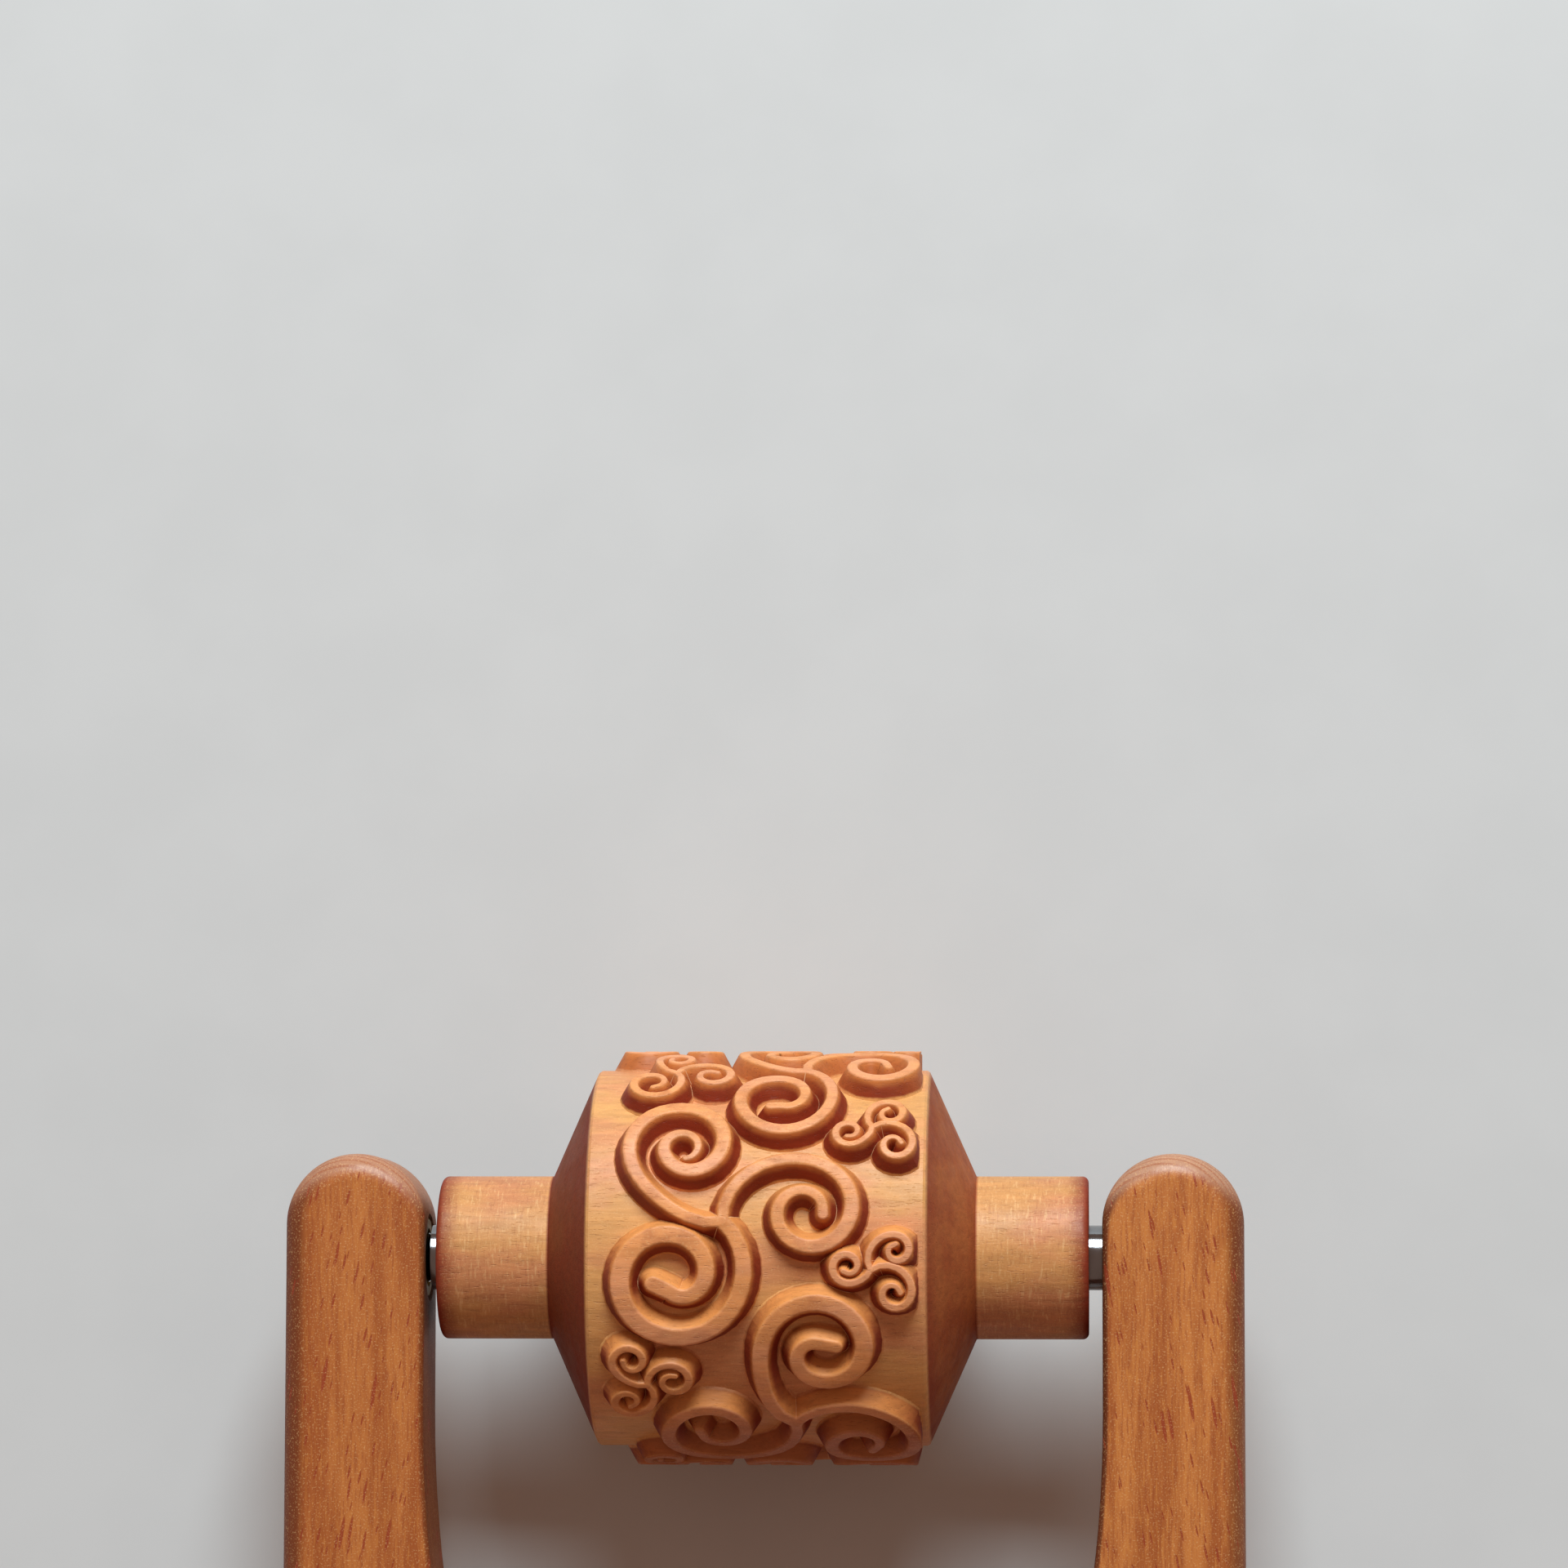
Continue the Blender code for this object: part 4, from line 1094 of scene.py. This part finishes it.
    base = wood.layered(
        wood.mix(pink, colours.ground, colours.ground_pink),
        (on_top, stained_and_shaded),
        (wall, wall_colour),
        (times(times(in_valley, faded), wall), colours.valley_line),
        (on_chamfer, end_grain),
        (reddened, colours.burnt_and_shade, 0.80),
        (on_rim, colours.burnt_and_shade, 0.92),
        (on_stub, colours.burnt_and_shade, 0.16),
        (times(ramp(turned, 0.56, 0.70, 0.0, 0.40), plain_stub), colours.beech_glint),
        (times(ramp(turned, 0.30, 0.44, 0.22, 0.0), on_stub), colours.burnt_and_shade),
    )
    dull = wood.maths("MAXIMUM", on_chamfer, on_rim)
    bare = wood.inverse(wood.maths("MAXIMUM", wall, dull))
    base = wood.layered(
        wood.shaded(base, ramp(grain["Streak"], 0.25, 0.75, 0.86, 1.10)),
        (grain["Pores"], colours.burnt_and_shade, 0.18),
        (times(times(grain["Glint"], 0.24), bare), colours.beech_glint),
    )
    relief = wood.maths("ADD", grain["Streak"], times(grain["Pores"], -0.5))
    return wood.done({
        "Base Color": base,
        "Roughness": wood.maths("ADD", ramp(smudge, 0.3, 0.7, 0.44, 0.58), times(dull, 0.16)),
        "Normal": wood.bump(relief, *WOOD_BUMP),
        "Coat Weight": times(bare, 0.05),
        "Coat Roughness": 0.25,
        "Specular IOR Level": WOOD_SPECULAR,
    })


TIP_START = -0.012


def oiled_beech(name, colours, offset, paired):
    """Oiled beech along the handle's length, with streaks, ray flecks, growth layers, painted shade on its
    sides, and end grain that is paler near the tips, partly as painted light.

    On a paired board the flecks of the right half lean against those of the left.
    """
    wood = Finish(name)
    ramp, times, mapped = wood.ramp, wood.times, wood.mapped
    place = mapped(wood.place(AXIS), location=(offset, offset, offset), rotation=(-HANDLE_TILT, 0, 0))
    x, y, z = wood.split(place)
    grain = wood.group(fine_grain(), place=mapped(place, scale=(4.6, 0.42, 4.6)), close=place)
    broad = wood.noise(mapped(place, scale=(1.0, 0.07, 1.0)), 430.0, 3.0, 0.55, 0.5)

    # Painted shade on the sides that face left or right, most on the left ones, and end grain with its growth
    # layers, paler near the tips: partly the end grain's own tone, partly painted light where the tips face
    # the key lamp
    normal = wood.node("TexCoord", {})["Normal"]
    facing_right = wood.vectors("DOT_PRODUCT", normal, (1.0, 0.0, 0.0))
    shaded_left = ramp(facing_right, -0.48, -0.06, 0.95, 0.0)
    shaded_right = ramp(facing_right, 0.08, 0.70, 0.0, 0.72)
    shaded_sides = wood.maths("MAXIMUM", shaded_left, shaded_right)
    layer_place = mapped(place, rotation=(0.0, 0.12, 0.0), scale=(1.0, 0.4, 1.0))
    wave = {"Vector": layer_place, "Scale": 620.0, "Distortion": 1.2, "Detail": 2.0, "Detail Scale": 0.5}
    layers = wood.node("TexWave", wave, bands_direction="Z")["Fac"]
    facing_end = wood.maths("ABSOLUTE", wood.vectors("DOT_PRODUCT", normal, (0.0, 1.0, 0.0)))
    end = ramp(facing_end, 0.12, 0.50)
    # Painted light: end grain near the tips, which face the key lamp, is laid paler than end grain further
    # back
    end_grain_and_light = wood.mix(ramp(y, TIP_START, 0.0), colours.beech_dark, colours.beech_end_and_light)

    # Ray flecks, small and large
    spread = place
    shown = wood.inverse(end)
    if paired:
        from_middle = wood.maths("ABSOLUTE", x)
        shift = times(wood.maths("SIGN", x), FLECK_SHIFT)
        folded = {"X": from_middle, "Y": wood.maths("ADD", y, shift), "Z": z}
        spread = wood.node("CombineXYZ", folded)[0]
        shown = times(shown, ramp(from_middle, 0.0005, 0.003))
    small = wood.group(ray_flecks(), place=spread, density=0.80)["Fleck"]
    large_place = mapped(spread, location=(0.013, 0.007, 0.0), scale=(0.60, 0.46, 0.60))
    large = wood.group(ray_flecks(), place=large_place, density=0.36)["Fleck"]
    flecks = times(wood.maths("MAXIMUM", small, large), shown)

    base = wood.layered(
        colours.beech,
        (ramp(broad, 0.36, 0.64, 0.0, 0.75), colours.beech_dark),
        (ramp(grain["Streak"], 0.50, 0.66, 0.0, 0.62), colours.beech_dark),
        (ramp(grain["Streak"], 0.32, 0.48, 0.46, 0.0), colours.beech_gold),
        (shaded_sides, colours.beech_side_shade),
        (times(end, ramp(y, TIP_START, 0.0, 0.30, 0.80)), end_grain_and_light),
        (times(ramp(layers, 0.55, 0.95, 0.0, 0.50), end), colours.beech_dark),
        (ramp(x, -0.046, 0.020, 0.24, 0.0), colours.beech_dark),
        (flecks, colours.beech_fleck, 0.88),
        (grain["Pores"], colours.beech_fleck, 0.26),
        (grain["Glint"], colours.beech_glint, 0.34),
    )
    polish = ramp(grain["Streak"], 0.3, 0.7, 0.34, 0.46)
    relief = wood.maths("SUBTRACT", grain["Streak"], times(flecks, 0.5))
    return wood.done({
        "Base Color": base,
        "Roughness": wood.maths("ADD", polish, times(shaded_sides, 0.18)),
        "Normal": wood.bump(relief, *WOOD_BUMP),
        "Coat Weight": ramp(shaded_sides, 0.0, 0.6, 0.15, 0.0),
        "Coat Roughness": 0.22,
        "Specular IOR Level": WOOD_SPECULAR,
    })


def dowel_wood(colours):
    """Bare straight-grained wood of the dowel."""
    wood = Finish("dowel_wood")
    place = wood.mapped(wood.place(AXIS), rotation=(-HANDLE_TILT, 0, 0), scale=(1.0, 0.08, 1.0))
    grain = wood.group(fine_grain(), place=place, close=place)
    return wood.done({
        "Base Color": wood.shaded(colours.dowel, wood.ramp(grain["Streak"], 0.25, 0.75, 0.80, 1.12)),
        "Roughness": wood.ramp(grain["Pores"], 0.0, 1.0, 0.62, 0.75),
        "Normal": wood.bump(grain["Streak"], 0.00008, 0.6),
    })


def metal(name, base_colour, roughness, turned_marks):
    """A turned metal: fine rings round the axle and a faint smear."""
    finish = Finish(name)
    place = finish.place(AXIS)
    rings = finish.noise(finish.mapped(place, scale=(1.0, 0.01, 0.01)), 9000.0, 2.0)
    smear = finish.noise(place, 500.0, 2.0)
    return finish.done({
        "Base Color": finish.shaded(base_colour, finish.ramp(smear, 0.3, 0.7, 0.90, 1.04)),
        "Roughness": finish.ramp(smear, 0.3, 0.7, roughness * 0.85, roughness * 1.25),
        "Normal": finish.bump(rings, 0.000004, turned_marks),
        "Metallic": 1.0,
    })


# The stage


CAMERA_TURN = (math.radians(7.84), math.radians(3.0), math.radians(0.23))
PHOTO_SIDE = 1920
SENSOR_WIDTH = 36.0
KEY_LEAN = math.radians(50.0)
KEY_SIDE = math.radians(4.0)
KEY_COLOUR = (0.95, 1.05, 1.08)
WORLD_FILL = (1.0, 0.64, 0.49, 1.0)
FLOOR_HALF = 3.0


def make_camera(stage):
    """A camera above and behind the drum, turned so that the drum lies where the photograph has it."""
    data = bpy.data.cameras.new("camera")
    data.sensor_width = SENSOR_WIDTH
    data.lens = stage.focal_px / PHOTO_SIDE * SENSOR_WIDTH
    data.clip_start = 0.01
    data.clip_end = 20.0
    camera = placed("camera", data)
    camera.location = AXIS + Vector((stage.camera_right, -stage.camera_back, stage.camera_height))
    camera.rotation_euler = CAMERA_TURN
    bpy.context.scene.camera = camera


def make_key(stage):
    """A soft box in front of the drum, high up and a little to the right."""
    data = bpy.data.lights.new("key", "AREA")
    data.shape = "SQUARE"
    data.size = stage.key_size
    data.energy = stage.key_power
    data.color = KEY_COLOUR
    lamp = placed("key", data)
    towards = Vector((math.sin(KEY_SIDE), math.sin(KEY_LEAN), math.cos(KEY_LEAN))).normalized()
    lamp.location = AXIS + towards * stage.key_distance
    lamp.rotation_euler = towards.to_track_quat("Z", "Y").to_euler()


def make_world(stage):
    """An even room that fills the shadows a little."""
    world = bpy.data.worlds.new("room")
    bpy.context.scene.world = world
    world.use_nodes = True
    world.node_tree.nodes.clear()
    nodes = Nodes(world.node_tree)
    fill = nodes.node("Background", {"Color": WORLD_FILL, "Strength": stage.fill_strength})
    nodes.node("OutputWorld", {"Surface": fill[0]})


def make_floor(colours):
    """A plain pale floor under the tool."""
    bm = bmesh.new()
    bmesh.ops.create_grid(bm, x_segments=1, y_segments=1, size=FLOOR_HALF)
    floor = placed("floor", mesh_of(bm, "floor"))
    finish = Finish("floor")
    cloud = finish.noise(finish.node("TexCoord", {})["Object"], 60.0, 4.0)
    base = finish.shaded(colours.floor, finish.ramp(cloud, 0.3, 0.7, 0.985, 1.015))
    floor.data.materials.append(finish.done({"Base Color": base, "Roughness": 0.7}))


class OBJECT_OT_stage(bpy.types.Operator):
    """Set the camera, the lamps, the room and the floor"""

    bl_idname = "object.roller_stage"
    bl_label = "Stage"

    def execute(self, context):
        colours, stage = settings("colours", "stage")
        context.scene.view_settings.view_transform = "Standard"
        make_camera(stage)
        make_key(stage)
        make_world(stage)
        make_floor(colours)
        return {"FINISHED"}


# The panel and the registration


class VIEW3D_PT_texture_roller(bpy.types.Panel):
    """Lists the roller's pieces and sizes"""

    bl_label = "Texture Roller"
    bl_idname = "VIEW3D_PT_texture_roller"
    bl_space_type = "VIEW_3D"
    bl_region_type = "UI"
    bl_category = "Texture Roller"

    def draw(self, context):
        for operator in PIECE_OPERATORS:
            self.layout.operator(operator.bl_idname)
        for group in settings(*SETTING_GROUPS):
            box = self.layout.box()
            for name in group.bl_rna.properties.keys():
                if name not in ("rna_type", "name"):
                    box.prop(group, name)


PIECE_OPERATORS = (
    OBJECT_OT_stage,
    OBJECT_OT_carved_drum,
    OBJECT_OT_bushes,
    OBJECT_OT_axle,
    OBJECT_OT_insert,
    OBJECT_OT_yoke,
    OBJECT_OT_grip,
    OBJECT_OT_dowel,
)
SETTING_GROUPS = {
    "drum": DrumSizes,
    "axle": AxleSizes,
    "handle": HandleSizes,
    "colours": FinishColours,
    "stage": StageSettings,
}
CLASSES = (*SETTING_GROUPS.values(), *PIECE_OPERATORS, VIEW3D_PT_texture_roller)


def register():
    """Register the classes and put their settings on the scene."""
    for made in CLASSES:
        bpy.utils.register_class(made)
    for kind, group in SETTING_GROUPS.items():
        setattr(bpy.types.Scene, "roller_" + kind, PointerProperty(type=group))


def unregister():
    """Take the settings and the classes away again."""
    for kind in SETTING_GROUPS:
        delattr(bpy.types.Scene, "roller_" + kind)
    for made in reversed(CLASSES):
        bpy.utils.unregister_class(made)


def main():
    """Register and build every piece."""
    register()
    for obj in [o for o in bpy.data.objects if o.type in ("CAMERA", "LIGHT")]:
        bpy.data.objects.remove(obj)
    bpy.ops.object.roller_stage()
    bpy.ops.object.roller_carved_drum()
    bpy.ops.object.roller_bushes()
    bpy.ops.object.roller_axle()
    bpy.ops.object.roller_insert()
    bpy.ops.object.roller_yoke()
    bpy.ops.object.roller_grip()
    bpy.ops.object.roller_dowel()


if __name__ == "__main__":
    main()
